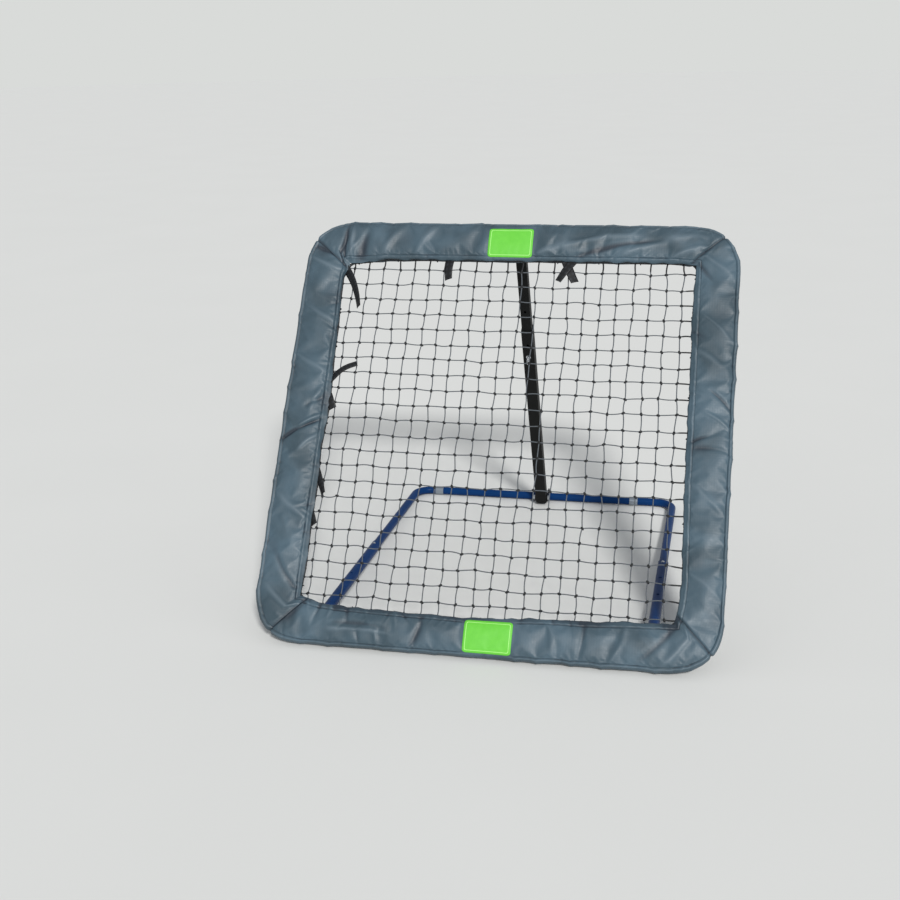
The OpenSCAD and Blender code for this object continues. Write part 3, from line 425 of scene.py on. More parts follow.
def open_back(side, x, across, out, back):
    """Pushes the back in, down to a circle round the tube and, under a leg, to the straight line
    of its upper limit. Round each opening stands a rounded rim."""
    if side not in (TOP, BOTTOM):
        return out
    if side == BOTTOM:
        openings, room, up = LEG_OPENINGS, SLEEVE_ROOM, -across
        low_in, high_in = room * math.sin(LEG_LOW), room * math.sin(LEG_HIGH)
        line_from = room * math.cos(LEG_HIGH)
        low = -room * math.cos(LEG_LOW) + (HALF_THICKNESS - low_in) * math.tan(LEG_LOW)
        high = line_from + (HALF_THICKNESS + high_in) * math.tan(LEG_HIGH)
        line = -high_in + (up - line_from) / math.tan(LEG_HIGH)
    else:
        openings, room, up = [BRACKET_OPENING], BRACKET_ROOM, across
        low, high, line_from, line = -room, room, room, 0 * up
    circle = -np.sqrt(np.maximum(room ** 2 - up ** 2, 0))
    bottom_y = np.where(up > line_from, line, circle)
    for place, half in openings:
        outside = np.maximum(np.abs(x - place) - half, np.maximum(low - up, up - high))
        out = np.where(back, out - RIM_HEIGHT * ridge(outside - RIM_PLACE, RIM_WIDTH), out)
        out = np.where(back & (outside < 0), np.maximum(out, -bottom_y), out)
    return out


def pad_surface(side, t, run):
    """The x, out and d of side_points, and the tone, on a pad at a slope t along it and an arc
    length round its section. The section is stretched between the sagged and the drawn-in edge,
    then moved along its normal by the cloth's relief and by the simulated slack. Past a corner it
    follows the neighbour's side."""
    across, out, normal_a, normal_o = section_at(run)
    slope = slid(side, t, across)
    x_mid = slope * HALF_SPAN
    ease = np.clip((1 - np.abs(t)) / MITRE_EASE, 0, 1)
    ends = ease ** 2 * (3 - 2 * ease)
    slack = DRAW_IN[side] * (1 - np.clip(tuck_depth(side, x_mid), 0, 1)) * ends
    edge = on_side(side, slope, edge_line)
    reach = np.maximum(LEAST_REACH, -edge - HALF_PAD)
    inner = HALF_SPAN + edge + reach + 0.4 * slack
    outer = on_side(side, slope, lambda _, own: outline(own)) - slack
    d = (inner + outer) / 2 + (outer - inner) / PAD_WIDTH * across
    lip = np.clip(-(across + HALF_PAD) / LIP_REACH, 0, 1)
    phases = SWELLS[side]
    wander = 0.0012 * np.sin(47 * x_mid + phases[4]) + 0.0009 * np.sin(113 * x_mid + phases[5])
    wander = wander - 0.0022 * tuck_depth(side, x_mid, 0.012, LIP_TUCK_SHIFT)
    d = d - lip * (ends * wander + reach - LIP_REACH * (outer - inner) / PAD_WIDTH)
    x = slope * d
    front = run <= FRONT_END
    from_mitre = (1 - np.abs(t)) * d / math.sqrt(2)
    flat = np.where(front, held_flat(side, x, d - HALF_SPAN), 1)
    tone = pad_relief(side, x, across, front) * (1 - 0.5 * ridge(from_mitre, 0.006)) * (1 - 0.6 * lip)
    slit = ridge(out, SLIT_HALF_WIDTH) * (~front & (across < 0))
    channel = ridge(out ** 2, CHANNEL_HALF_WIDTH ** 2) * (~front & (across < 0))
    mitre = MITRE_DEPTH * ridge(from_mitre, MITRE_HALF_WIDTH) * (1 - lip)
    tone = tone * flat - mitre - SLIT_SHADE * slit
    relief = tone + simulated(side, t, run) * (1 - lip) * flat - CHANNEL_DEPTH * channel
    far_out = open_back(side, x, d - HALF_SPAN, out + relief * normal_o, ~front & (out < 0.004))
    d = d + relief * normal_a
    # Painted shade: the hem inside the seam is made darker in colour only, not in shape
    tone = tone - HEM_SHADE[side] * front * step_up(INNER_SEAM[side] - across, 0.0012)
    over, under = slope > 1, slope < -1
    x = (slope - 2.0 * over + 2.0 * under) * d
    return (np.where(over, d, np.where(under, -d, x)), far_out,
            np.where(over, -x, np.where(under, x, d)), tone)


# The front cloth runs on past the foam as a thin hemmed lip, which covers the net's border rope.
# Behind it are the slit and the channel in which the rope lies
LIP_REACH = 0.0115
LIP_OUT = 0.0094
LIP_THICKNESS = 0.0016
LIP_START = -0.045
SLIT_HALF_WIDTH = 0.0016
SLIT_SHADE = 0.004
CHANNEL_HALF_WIDTH = 0.0046
CHANNEL_DEPTH = 0.007
OUTLINE_STEPS = 1500
NOSE_STEPS = 60
UNDER_STEPS = 40


def plain_out(across):
    """Half thickness of the plain section at a place across it: a rounded rectangle of power 3."""
    share = np.clip(np.abs(across) / HALF_PAD, 0, 1)
    return HALF_THICKNESS * (1 - share ** SECTION_POWER) ** (1 / SECTION_POWER)


def front_line(count):
    """The section's front, from the lip's tip to the outer edge: a cubic that leaves the rounded
    section with its slope and comes down to the tip, and then the rounded section itself."""
    tip = -HALF_PAD - LIP_REACH
    f = np.linspace(0, 1, count // 3, endpoint=False)
    span = LIP_START - tip
    high = plain_out(LIP_START)
    slope = (plain_out(LIP_START + 1e-4) - high) / 1e-4
    hermite = (LIP_OUT * (2 * f ** 3 - 3 * f ** 2 + 1) + 0.45 * span * (f ** 3 - 2 * f ** 2 + f)
               + high * (3 * f ** 2 - 2 * f ** 3) + slope * span * (f ** 3 - f ** 2))
    turn = np.linspace(math.acos(abs(LIP_START / HALF_PAD) ** (SECTION_POWER / 2)), math.pi, count)
    across = -HALF_PAD * np.sign(np.cos(turn)) * np.abs(np.cos(turn)) ** (2 / SECTION_POWER)
    return np.concatenate([tip + span * f, across]), np.concatenate([hermite, plain_out(across)])


front_across, front_out = front_line(OUTLINE_STEPS)
back_turn = np.cos(np.linspace(0, math.pi, OUTLINE_STEPS)[1:])
back_across = HALF_PAD * np.sign(back_turn) * np.abs(back_turn) ** (2 / SECTION_POWER)
nose_out = np.linspace(0, LIP_OUT - LIP_THICKNESS, NOSE_STEPS)[1:-1]
nose_across = -HALF_PAD * (1 - (nose_out / HALF_THICKNESS) ** SECTION_POWER) ** (1 / SECTION_POWER)
under_across = np.linspace(-HALF_PAD, front_across[0], UNDER_STEPS)[:-1]
under_out = np.full_like(under_across, LIP_OUT - LIP_THICKNESS)
outline_across = np.concatenate([front_across, back_across, nose_across, under_across])
outline_out = np.concatenate([front_out, -plain_out(back_across), nose_out, under_out])
outline_run = np.concatenate([[0], np.cumsum(np.hypot(np.diff(outline_across), np.diff(outline_out)))])
FRONT_END = outline_run[len(front_across) - 1]

# The section's points are crowded at these places across it, each with its half width: beside the
# two seams and at the lip's tip
CROWDED = [(-0.051, 0.008), (0.050, 0.009), (-HALF_PAD - LIP_REACH, 0.003)]
NORMAL_STEP = 0.0008


def section(count, crowd):
    """Arc lengths round the section, crowded by a factor at those places and at the slit: even
    steps of the length weighted by the crowding."""
    step = np.diff(outline_run)
    middle_a = (outline_across[1:] + outline_across[:-1]) / 2
    middle_o = (outline_out[1:] + outline_out[:-1]) / 2
    front = outline_run[1:] <= FRONT_END
    density = 1 + crowd * front * sum(ridge(middle_a - place, width) for place, width in CROWDED)
    density = density + crowd * (middle_a < 0) * ridge(middle_o, 0.005)
    weight = np.concatenate([[0], np.cumsum(step * density)])
    return np.interp(np.linspace(0, weight[-1], count, endpoint=False), weight, outline_run)


def section_at(run):
    """Place and outward normal on the section at an arc length: the normal is square to the
    difference of the places a little before and after."""
    def at(length):
        return [np.interp(length, outline_run, values) for values in (outline_across, outline_out)]
    across, out = at(run)
    a0, o0 = at(np.maximum(run - NORMAL_STEP, 0))
    a1, o1 = at(np.minimum(run + NORMAL_STEP, outline_run[-1]))
    size = np.hypot(a1 - a0, o1 - o0)
    return across, out, -(o1 - o0) / size, (a1 - a0) / size


def grid_faces(rows, columns, wrap):
    """Quads of a grid of rows by columns, closed round the columns where wrap is true."""
    i = np.arange(rows - 1)[:, None]
    k = np.arange(columns if wrap else columns - 1)[None, :]
    after = (k + 1) % columns
    corners = i * columns + k, i * columns + after, (i + 1) * columns + after, (i + 1) * columns + k
    return np.stack(np.broadcast_arrays(*corners), -1).reshape(-1, 4)


def capped(rows, columns):
    """Faces of a tube of rows of columns points, with a flat cap on both ends."""
    ends = [tuple(range(columns)), tuple(range((rows - 1) * columns, rows * columns))[::-1]]
    return [tuple(f[::-1]) for f in grid_faces(rows, columns, True).tolist()] + ends


def joined(parts):
    """One list of points and one of faces from parts that are pairs of points and faces."""
    clouds, faces, first = [], [], 0
    for points, part_faces in parts:
        clouds.append(np.reshape(points, (-1, 3)))
        faces += [[k + first for k in face] for face in part_faces]
        first += len(clouds[-1])
    return np.concatenate(clouds), faces


def new_piece(name, points, faces, material, uv=None, values=None):
    """A smooth mesh object in the row frame, with a UV and named values for each point."""
    mesh = bpy.data.meshes.new(name)
    mesh.from_pydata(np.asarray(points).reshape(-1, 3).tolist(), [], [list(f) for f in faces])
    mesh.polygons.foreach_set("use_smooth", np.ones(len(mesh.polygons), bool))
    if uv is not None:
        corners = np.zeros(len(mesh.loops), np.int32)
        mesh.loops.foreach_get("vertex_index", corners)
        layer = mesh.uv_layers.new(name="cloth")
        layer.data.foreach_set("uv", np.asarray(uv, np.float32).reshape(-1, 2)[corners].ravel())
    for key, value in (values or {}).items():
        attribute = mesh.attributes.new(key, "FLOAT", "POINT")
        attribute.data.foreach_set("value", np.asarray(value, np.float32).ravel())
    mesh.materials.append(material)
    mesh.update()
    piece = bpy.data.objects.new(name, mesh)
    scene.collection.objects.link(piece)
    return piece


# PVC-coated polyester, calendered: a soft satin skin with a faint fabric grain, painted paler as a
# highlight where a fold stands up, and painted darker as shade down in the seams and hollows
coated_fabric, tree, shader = new_material("pvc_coated_polyester")
place = object_place(tree)
height = add(tree, "ShaderNodeAttribute", attribute_name="relief").outputs["Fac"]
cloud = ramp(tree, noise(tree, place, 6, 4, Distortion=0.8), 0.36, 0.64, 0, 1)
speck = noise(tree, place, 90, 5, Roughness=0.7)
# Painted highlight: paler where the relief stands up
painted_fold_highlight = ramp(tree, height, 0.0006, 0.0040, 0, 0.55)
# Painted shade: darker where the relief sinks, in seams, fold hollows and the darkened hems
painted_hollow_shade = ramp(tree, height, -0.0006, -0.0034, 0, 0.85)
dust = ramp(tree, speck, 0.55, 0.8, 0, 0.10)
colour = between(tree, cloud, "#33454f", "#475c69")
for share, tone in ((painted_fold_highlight, "#62727d"), (painted_hollow_shade, "#1d2530"), (dust, "#6f7b83")):
    colour = between(tree, share, colour, tone)
feed(tree, shader, {"Base Color": colour, "Roughness": ramp(tree, speck, 0.3, 0.8, 0.46, 0.60)})
# A faint square grain, of 7 mm waves each way, lies under the crumples
cloth_uv = add(tree, "ShaderNodeUVMap", uv_map="cloth").outputs[0]
grain = maths(tree, "ADD", *[waves(tree, cloth_uv, 0.0011, axis, 0.4) for axis in ("X", "Y")])
grain_normal = bump(tree, shader, grain, 0.35, 0.00012)
bump(tree, shader, noise(tree, place, 24, 2, Distortion=0.6), 0.4, 0.0022, Normal=grain_normal)

# Each front cloth is cut a little larger than the foam, so it lies slack. A cloth simulation
# between the seams, which hold it, gives the folds: its rise over the plain pad is kept
SLACK_ROWS = 260
SLACK_LANES = 26
SLACK_STEPS = 30
SEAM_RUNS = np.interp([INNER_SEAM, OUTER_SEAM], front_across, outline_run[:len(front_across)])
SLACK_SHARE = {TOP: 0.013, RIGHT: 0.007, BOTTOM: 0.010, LEFT: 0.010}
MOST_SUNK = 0.0012
MOST_RAISED = 0.0060
slack_rise = {}


def simulated(side, t, run):
    """Rise of the slack cloth between grid points: Catmull-Rom weights on four rows and lanes."""
    if side not in slack_rise:
        return 0.0 * t * run
    row = (np.clip(t, -1, 1) + 1) / 2 * (SLACK_ROWS - 1)
    first_run, last_run = SEAM_RUNS[:, side]
    lane = np.clip((run - first_run) / (last_run - first_run), 0, 1) * (SLACK_LANES - 1)
    first_row, first_lane = np.floor(row).astype(int), np.floor(lane).astype(int)

    def weights(f):
        return (-f / 2 + f * f - f ** 3 / 2, 1 - 2.5 * f * f + 1.5 * f ** 3,
                f / 2 + 2 * f * f - 1.5 * f ** 3, (f ** 3 - f * f) / 2)
    total = 0
    for i, row_weight in enumerate(weights(row - first_row)):
        near_row = np.clip(first_row + i - 1, 0, SLACK_ROWS - 1)
        for k, lane_weight in enumerate(weights(lane - first_lane)):
            near_lane = np.clip(first_lane + k - 1, 0, SLACK_LANES - 1)
            total = total + row_weight * lane_weight * slack_rise[side][near_row, near_lane]
    return total


def slacken():
    """Simulates the four front cloths together, held along their edges, and keeps each one's rise
    along the pad's normal, limited by hyperbolic tangents, in slack_rise."""
    t = np.linspace(-1, 1, SLACK_ROWS)[:, None] * (1 - MITRE_GAP)
    cloths = {}
    faces = grid_faces(SLACK_ROWS, SLACK_LANES, False)[:, ::-1].tolist()
    for side in SIDES:
        run = np.linspace(*SEAM_RUNS[:, side], SLACK_LANES)[None, :]
        points = side_points(side, *pad_surface(side, t, run)[:3])
        cloth = new_piece("slack_" + SIDE_NAMES[side], points, faces, coated_fabric)
        index = np.arange(SLACK_ROWS * SLACK_LANES).reshape(SLACK_ROWS, SLACK_LANES)
        held = np.concatenate([index[:2].ravel(), index[-2:].ravel(), index[:, 0], index[:, -1]])
        cloth.vertex_groups.new(name="held").add(held.tolist(), 1, "REPLACE")
        modifier = cloth.modifiers.new("slack", "CLOTH")
        settings = modifier.settings
        settings.quality = 6
        settings.mass = 0.2
        settings.tension_stiffness = settings.compression_stiffness = 25
        settings.shear_stiffness = 12
        settings.bending_stiffness = 9
        settings.shrink_min = -SLACK_SHARE[side]
        settings.vertex_group_mass = "held"
        settings.effector_weights.gravity = 0
        settings.use_pressure = True
        settings.uniform_pressure_force = 1.5
        modifier.collision_settings.use_collision = False
        cloths[side] = (cloth, points)
    for step in range(SLACK_STEPS):
        scene.frame_set(step + 1)
    graph = bpy.context.evaluated_depsgraph_get()
    for side, (cloth, points) in cloths.items():
        moved = np.zeros(points.size, np.float32)
        cloth.evaluated_get(graph).to_mesh().vertices.foreach_get("co", moved)
        moved = moved.reshape(points.shape)
        normal = np.cross(np.gradient(points, axis=0), np.gradient(points, axis=1))
        normal /= np.linalg.norm(normal, axis=-1, keepdims=True)
        normal *= np.sign(normal @ PANEL_FACING)[..., None]
        rise = ((moved - points) * normal).sum(-1)
        slack_rise[side] = np.where(rise < 0, MOST_SUNK * np.tanh(rise / MOST_SUNK),
                                    MOST_RAISED * np.tanh(rise / MOST_RAISED))
    for cloth, _ in cloths.values():
        bpy.data.meshes.remove(cloth.data)
    scene.frame_set(1)


slacken()

COLUMNS = 460
RING = 120
RING_CROWD = 2.4
SHARPEST_SMOOTH = math.radians(58)
ring = section(RING, RING_CROWD)[None, :]
t = np.linspace(-1, 1, COLUMNS)[:, None] * (1 - MITRE_GAP)
for side in SIDES:
    x, out, d, relief = pad_surface(side, t, ring)
    points = side_points(side, x, out, d)
    # The panel's lowest edge rests flat on the floor
    points[..., 2] = np.maximum(points[..., 2], 0.0)
    uv = np.stack(np.broadcast_arrays(x, ring), -1)
    pad = new_piece("padded_cover_" + SIDE_NAMES[side], points, capped(COLUMNS, RING), coated_fabric,
                    uv, {"relief": relief})
    pad.data.set_sharp_from_angle(angle=SHARPEST_SMOOTH)
    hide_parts("pad_" + SIDE_NAMES[side], "foam_" + SIDE_NAMES[side])
    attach(pad, "panel")


# ---- Labels ----
# Two bare woven patches, sewn flat on the top and bottom pads: bright green satin polyester with
# a thin light line woven inside the edge.

LABEL_CORNER = 0.009
LABEL_THICKNESS = 0.001
LABEL_LIFT = 0.0002
PATCH_ROWS = 33
PATCH_COLUMNS = 45
LINE_DEPTH = 0.0064
LINE_HALF_WIDTH = 0.0007
LINE_ROUNDING = 0.008

patch_weave, tree, shader = new_material("woven_satin_patch")
patch_uv = add(tree, "ShaderNodeUVMap", uv_map="cloth").outputs[0]
split = add(tree, "ShaderNodeSeparateXYZ", {0: patch_uv}).outputs
# Distance inside the patch's edge, rounded a little at its corners
inside = [maths(tree, "SUBTRACT", half, maths(tree, "ABSOLUTE", split[axis]))
          for axis, half in (("X", PATCH_WIDTH / 2), ("Y", PATCH_HEIGHT / 2))]
depth = maths(tree, "SMOOTH_MIN", *inside, LINE_ROUNDING)
line = maths(tree, "COMPARE", depth, LINE_DEPTH, LINE_HALF_WIDTH)
green = between(tree, noise(tree, patch_uv, 60, 4), "#5ab932", "#69c73c")
feed(tree, shader, {"Base Color": between(tree, line, green, "#a8e884"), "Roughness": 0.5})
bump(tree, shader, waves(tree, patch_uv, 0.0009, "Y", 0.6), 0.4, 0.0002)

# A grid over a rounded rectangle: rows near the top and bottom are shortened by the corner circle
v = np.linspace(-1, 1, PATCH_ROWS)[:, None] * (PATCH_HEIGHT / 2)
into = np.maximum(np.abs(v) - (PATCH_HEIGHT / 2 - LABEL_CORNER), 0)
half = PATCH_WIDTH / 2 - LABEL_CORNER + np.sqrt(np.maximum(LABEL_CORNER ** 2 - into ** 2, 0))
u, v = np.broadcast_arrays(np.linspace(-1, 1, PATCH_COLUMNS)[None, :] * half, v)
uv = np.stack([u, v], -1)
edge = np.minimum(PATCH_WIDTH / 2 - np.abs(u), PATCH_HEIGHT / 2 - np.abs(v))
top_lift = 2 * LABEL_LIFT + LABEL_THICKNESS * (1 - 0.6 * ridge(edge, 0.0012))
under = grid_faces(PATCH_ROWS, PATCH_COLUMNS, False)
index = np.arange(u.size).reshape(u.shape)
loop = np.concatenate([index[0, :-1], index[:-1, -1], index[-1, :0:-1], index[:0:-1, 0]])
after = np.roll(loop, -1)
walls = np.stack([loop, after, after + u.size, loop + u.size], 1)
faces = np.concatenate([under[:, ::-1], under + u.size, walls]).tolist()
for side, (centre_x, centre_across) in PATCHES.items():
    # The section is squeezed under the patch, which keeps its own size
    slope = (centre_x + u) / (HALF_SPAN + v + centre_across)
    drawn = np.maximum(0, edge_line(side, slope) + HALF_PAD + LEAST_REACH)
    across = (v + centre_across - drawn / 2) / (1 - drawn / PAD_WIDTH)
    run = np.interp(across, front_across, outline_run[:len(front_across)])
    x, front, d, relief = pad_surface(side, slope, run)
    skins = [side_points(side, x, front + lift, d) for lift in (LABEL_LIFT, top_lift)]
    patch = new_piece("bare_patch_" + SIDE_NAMES[side], skins, faces, patch_weave, [uv, uv])
    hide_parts("label_" + SIDE_NAMES[side])
    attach(patch, "panel")


# ---- Net ----
# A square-mesh net of knotted polyethylene twine, 45 mm from knot to knot, hung in a twisted
# border rope. Its edge meshes are lashed round the rope.

CORDS = 22
TWINE_RADIUS = 0.0015
ROPE_RADIUS = 0.004
ROPE_BEND = 0.022
ROPE_BEHIND = 0.0055
# Length of the cords' ends painted black as the pads' shadow
PAD_SHADOW_REACH = 0.030
cords_u = -0.4730 + 0.0447 * np.arange(CORDS)
cords_v = -0.4835 + 0.0455 * np.arange(CORDS)


def rope_line(side, slope):
    """Distance of the border rope from the net's centre: just behind the cover's inner edge, with
    the far root of a small circle about the corner's centre, as in outline."""
    half = HALF_SPAN + edge_line(side, slope) + ROPE_BEHIND
    centre = half - ROPE_BEND
    a = centre * (1 + np.abs(slope))
    root = np.maximum(a * a - (1 + slope ** 2) * (2 * centre ** 2 - ROPE_BEND ** 2), 0)
    return np.where(np.abs(slope) <= centre / half, half, (a + np.sqrt(root)) / (1 + slope ** 2))


def swept(paths, radius, sides):
    """Rings of points along paths in the panel: each ring stands square to its path, on the
    panel's normal and the direction across the path, at the given radius."""
    along = np.gradient(paths, axis=-2)
    along /= np.linalg.norm(along, axis=-1, keepdims=True)
    across = np.cross(along, PANEL_FACING)
    across /= np.linalg.norm(across, axis=-1, keepdims=True)
    upright = np.cross(across, along)
    turn = np.linspace(0, 2 * math.pi, sides, endpoint=False)[:, None]
    ring = across[..., None, :] * np.cos(turn) + upright[..., None, :] * np.sin(turn)
    return paths[..., None, :] + ring * np.asarray(radius)[..., None]


def hoop(side, place, middle, radius, thickness, rings, sides, lean=0.0):
    """A closed ring of cord round a line along a side: its radius and the cord's, its points round
    and across, and how far it leans along the side."""
    turn = np.linspace(0, 2 * math.pi, rings, endpoint=False)[:, None]
    small = np.linspace(0, 2 * math.pi, sides, endpoint=False)[None, :]
    wide = radius + thickness * np.cos(small)
    points = side_points(side, place + thickness * np.sin(small) + lean * np.sin(turn),
                         wide * np.sin(turn), middle + wide * np.cos(turn))
    return points, (grid_faces(rings + 1, sides, True)[:, ::-1] % (rings * sides)).tolist()


# Rows and columns of knots, with the cords' ends on the rope as first and last. Each side's rope
# lies at about its reach from the centre. Knots slip across, up and out by these deviations
REACH = {TOP: 0.505, RIGHT: 0.500, BOTTOM: 0.510, LEFT: 0.495}
MEAN_REACH = 0.5
SLIP = np.array([0.0016, 0.0016, 0.00128])[:, None, None]
slip = random.normal(0, 1, (3, CORDS + 2, CORDS + 2)) * SLIP
knots = 0 * slip
knots[0, 1:-1] = cords_u[:, None]
knots[1, :, 1:-1] = cords_v
knots[0, 0, 1:-1] = -rope_line(LEFT, cords_v / REACH[LEFT])
knots[0, -1, 1:-1] = rope_line(RIGHT, -cords_v / REACH[RIGHT])
knots[1, 1:-1, 0] = -rope_line(BOTTOM, -cords_u / REACH[BOTTOM])
knots[1, 1:-1, -1] = rope_line(TOP, cords_u / REACH[TOP])
knots[:, 1:-1, 1:-1] += slip[:, 1:-1, 1:-1]
BENDS = 5
BOW = 0.0012
TWINE_SIDES = 6
share = np.linspace(0, 1, BENDS, endpoint=False)
parts, painted_shade = [], []
for direction in (0, 1):
    ends = (knots if direction == 0 else knots.transpose(0, 2, 1))[:, 1:-1]
    bow = random.normal(0, BOW, (2, CORDS, CORDS + 1))[..., None] * np.sin(math.pi * share)
    path = ends[:, :, :-1, None] * (1 - share) + ends[:, :, 1:, None] * share
    path[[direction, 2]] += bow
    path = np.concatenate([path.reshape(3, CORDS, -1), ends[:, :, -1:]], 2)
    # Painted shadow: the pads' shadow on the cords' ends at the top and at the right, drawn thicker and
    # painted black
    in_pad_shadow = path[1 - direction][:, -1:] - path[1 - direction] < PAD_SHADOW_REACH
    rings = swept(panel_points(path[0], path[2], HALF_SPAN + path[1]),
                  TWINE_RADIUS * (1 + 0.4 * in_pad_shadow[..., None]), TWINE_SIDES)
    parts += [(cord, capped(len(cord), TWINE_SIDES)) for cord in rings]
    painted_shade.append(np.repeat(1.0 * in_pad_shadow, TWINE_SIDES))

# A knot is a squat lump with two humps, in rings from near one pole to near the other
KNOT_HALF = (0.0052, 0.0040, 0.0045)
KNOT_RINGS = 5
KNOT_SIDES = 8
turn = np.linspace(0, 2 * math.pi, KNOT_SIDES, endpoint=False)[None, :]
rise = np.radians(np.linspace(-76, 76, KNOT_RINGS))[:, None]
lump = np.cos(rise) * (1 + 0.18 * np.cos(2 * turn))
knot_x = KNOT_HALF[0] * np.cos(turn) * lump
knot_out = KNOT_HALF[1] * np.sin(rise) + 0 * turn
knot_up = KNOT_HALF[2] * np.sin(turn) * lump
knot_faces = [face[::-1] for face in capped(KNOT_RINGS, KNOT_SIDES)]
spins = random.uniform(0, math.pi, knots[0].shape)
for i, j in np.ndindex(CORDS, CORDS):
    (u, v, out), spin = knots[:, i + 1, j + 1], spins[i + 1, j + 1]
    across = knot_x * math.cos(spin) - knot_up * math.sin(spin)
    up = knot_x * math.sin(spin) + knot_up * math.cos(spin)
    parts.append((panel_points(u + across, out + knot_out, HALF_SPAN + v + up), knot_faces))
# Knots are painted near black: painted shade in the tight knot
painted_shade.append(np.ones(CORDS * CORDS * knot_out.size))

# A lashing is the twine's turn round the border rope
LASH_RADIUS = ROPE_RADIUS + TWINE_RADIUS * 0.7
LASH_LEAN = 0.0012
LASH_RINGS = 12
LASH_SIDES = 5
for side, places in ((TOP, cords_u), (RIGHT, -cords_v), (BOTTOM, -cords_u), (LEFT, cords_v)):
    for place, rope_d in zip(places, rope_line(side, places / MEAN_REACH)):
        parts.append(hoop(side, place, rope_d, LASH_RADIUS, TWINE_RADIUS, LASH_RINGS, LASH_SIDES, LASH_LEAN))
        # Lashings are painted near black too, as shade
        painted_shade.append(np.ones(LASH_RINGS * LASH_SIDES))

# Polyethylene twine, braided: a dull mid grey with fine ribs, painted near black as shade in the knots and
# lashings and as the pads' shadow on some cords' ends
twine, tree, shader = new_material("braided_polyethylene_twine")
place = object_place(tree)
cord_colour = between(tree, noise(tree, place, 220, 3), "#3f454b", "#60666c")
twine_shade_share = add(tree, "ShaderNodeAttribute", attribute_name="painted_shade").outputs["Fac"]
feed(tree, shader, {"Base Color": between(tree, twine_shade_share, cord_colour, "#121417"), "Roughness": 0.62})
braid = add(tree, "ShaderNodeTexVoronoi", {"Vector": place, "Scale": 700}).outputs["Distance"]
bump(tree, shader, braid, 0.5, 0.0004)

net = new_piece("knotted_net", *joined(parts), twine, values={"painted_shade": np.concatenate(painted_shade)})
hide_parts("net")
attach(net, "panel")

# The rope: three strands, which show as three humps, laid round each other once every 30 mm
LAY = 0.030
ROPE_STEPS = 525
slope = np.linspace(-1, 1, ROPE_STEPS, endpoint=False)
rope_path = np.concatenate([side_points(side, slope * rope_line(side, slope), 0, rope_line(side, slope))
                            for side in SIDES])
ROPE_SIDES = 12
turn = np.linspace(0, 2 * math.pi, ROPE_SIDES, endpoint=False)
steps = np.linalg.norm(np.diff(rope_path, axis=0, append=rope_path[:1]), axis=1)
turned = 2 * math.pi * round(steps.sum() / LAY) * (np.cumsum(steps) - steps) / steps.sum()
strand = np.abs(np.sin(1.5 * (turn[None, :] - turned[:, None])))
rope_rings = swept(rope_path, ROPE_RADIUS * (0.84 + 0.18 * strand), ROPE_SIDES)
rope_faces = grid_faces(len(rope_path) + 1, ROPE_SIDES, True)[:, ::-1] % (len(rope_path) * ROPE_SIDES)

# Twisted polypropylene rope: near black, with a low sheen on each strand
rope_fibre, tree, shader = new_material("twisted_polypropylene_rope")
place = object_place(tree)
rope_colour = between(tree, noise(tree, place, 160, 4), "#0e1013", "#23272d")
feed(tree, shader, {"Base Color": rope_colour, "Roughness": 0.55})
bump(tree, shader, noise(tree, place, 1200, 2), 0.4, 0.0003)

rope = new_piece("twisted_border_rope", rope_rings, rope_faces.tolist(), rope_fibre)
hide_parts("net_border_rope")
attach(rope, "panel")

# Elastic loops tie the rope to the tubes: an eye round each, and a strand between them. Their
# places are counted in spacings from the side's middle
LOOP_SPACING = 0.1154
LOOPS = {TOP: (-4, -3, -2, -1, 1, 2, 3, 4), RIGHT: range(-4, 5), BOTTOM: range(-3, 4),
         LEFT: (-4, -3, -1, 0, 2, 3)}
LOOP_RADIUS = 0.0015
ROPE_EYE = 0.0056
TUBE_EYE = 0.0141
EYE_RINGS = 20
LOOP_SIDES = 6
small = np.linspace(0, 2 * math.pi, LOOP_SIDES, endpoint=False)[None, :]
parts = []
for side, counts in LOOPS.items():
    for count in counts:
        place = LOOP_SPACING * count
        rope_d = float(rope_line(side, place / MEAN_REACH))
        for middle, radius in ((rope_d, ROPE_EYE), (HALF_SPAN, TUBE_EYE)):
            parts.append(hoop(side, place, middle, radius, LOOP_RADIUS, EYE_RINGS, LOOP_SIDES))
        strand = np.array([[rope_d + ROPE_EYE], [HALF_SPAN - TUBE_EYE]])
        points = side_points(side, place + LOOP_RADIUS * np.cos(small), LOOP_RADIUS * np.sin(small), strand)
        parts.append((points, capped(2, LOOP_SIDES)))
loops = new_piece("elastic_loops", *joined(parts), rope_fibre)
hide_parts("net_elastic_loops")
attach(loops, "panel")


# ---- Ties ----
# Loose tails of 25 mm polyester webbing, which close the covers round the tubes. They come out
# of the slit over the border rope, and hang free, bent and twisted.

TIE_WIDTH = 0.025
TIE_THICKNESS = 0.0014
TIE_CUP = 0.0012
TIE_STEPS = 22
TIE_LANES = 7
TIE_CLEARANCE = 0.0012
# Distance from the panel's centre at which a tail leaves the cover
COVER_EDGE = 0.4885
# Side, place along it, tail's length, lean at its root, further bend, twist there, further twist,
# lift off the net
TAILS = [
    (TOP, -0.190, 0.046, -6, 12, 10, 20, 0.006), (TOP, 0.137, 0.054, 20, 10, 0, -30, 0.004),
    (TOP, 0.162, 0.056, -24, -14, 0, 35, 0.011), (LEFT, 0.474, 0.126, -50, -32, 26, 30, 0.010),
    (LEFT, 0.124, 0.082, 42, -12, -30, -4, 0.014), (LEFT, 0.082, 0.038, -60, -10, 14, 10, 0.006),
    (LEFT, -0.140, 0.062, -58, -18, 26, 26, 0.006), (LEFT, -0.262, 0.026, -58, -10, 20, 20, 0.004),
]

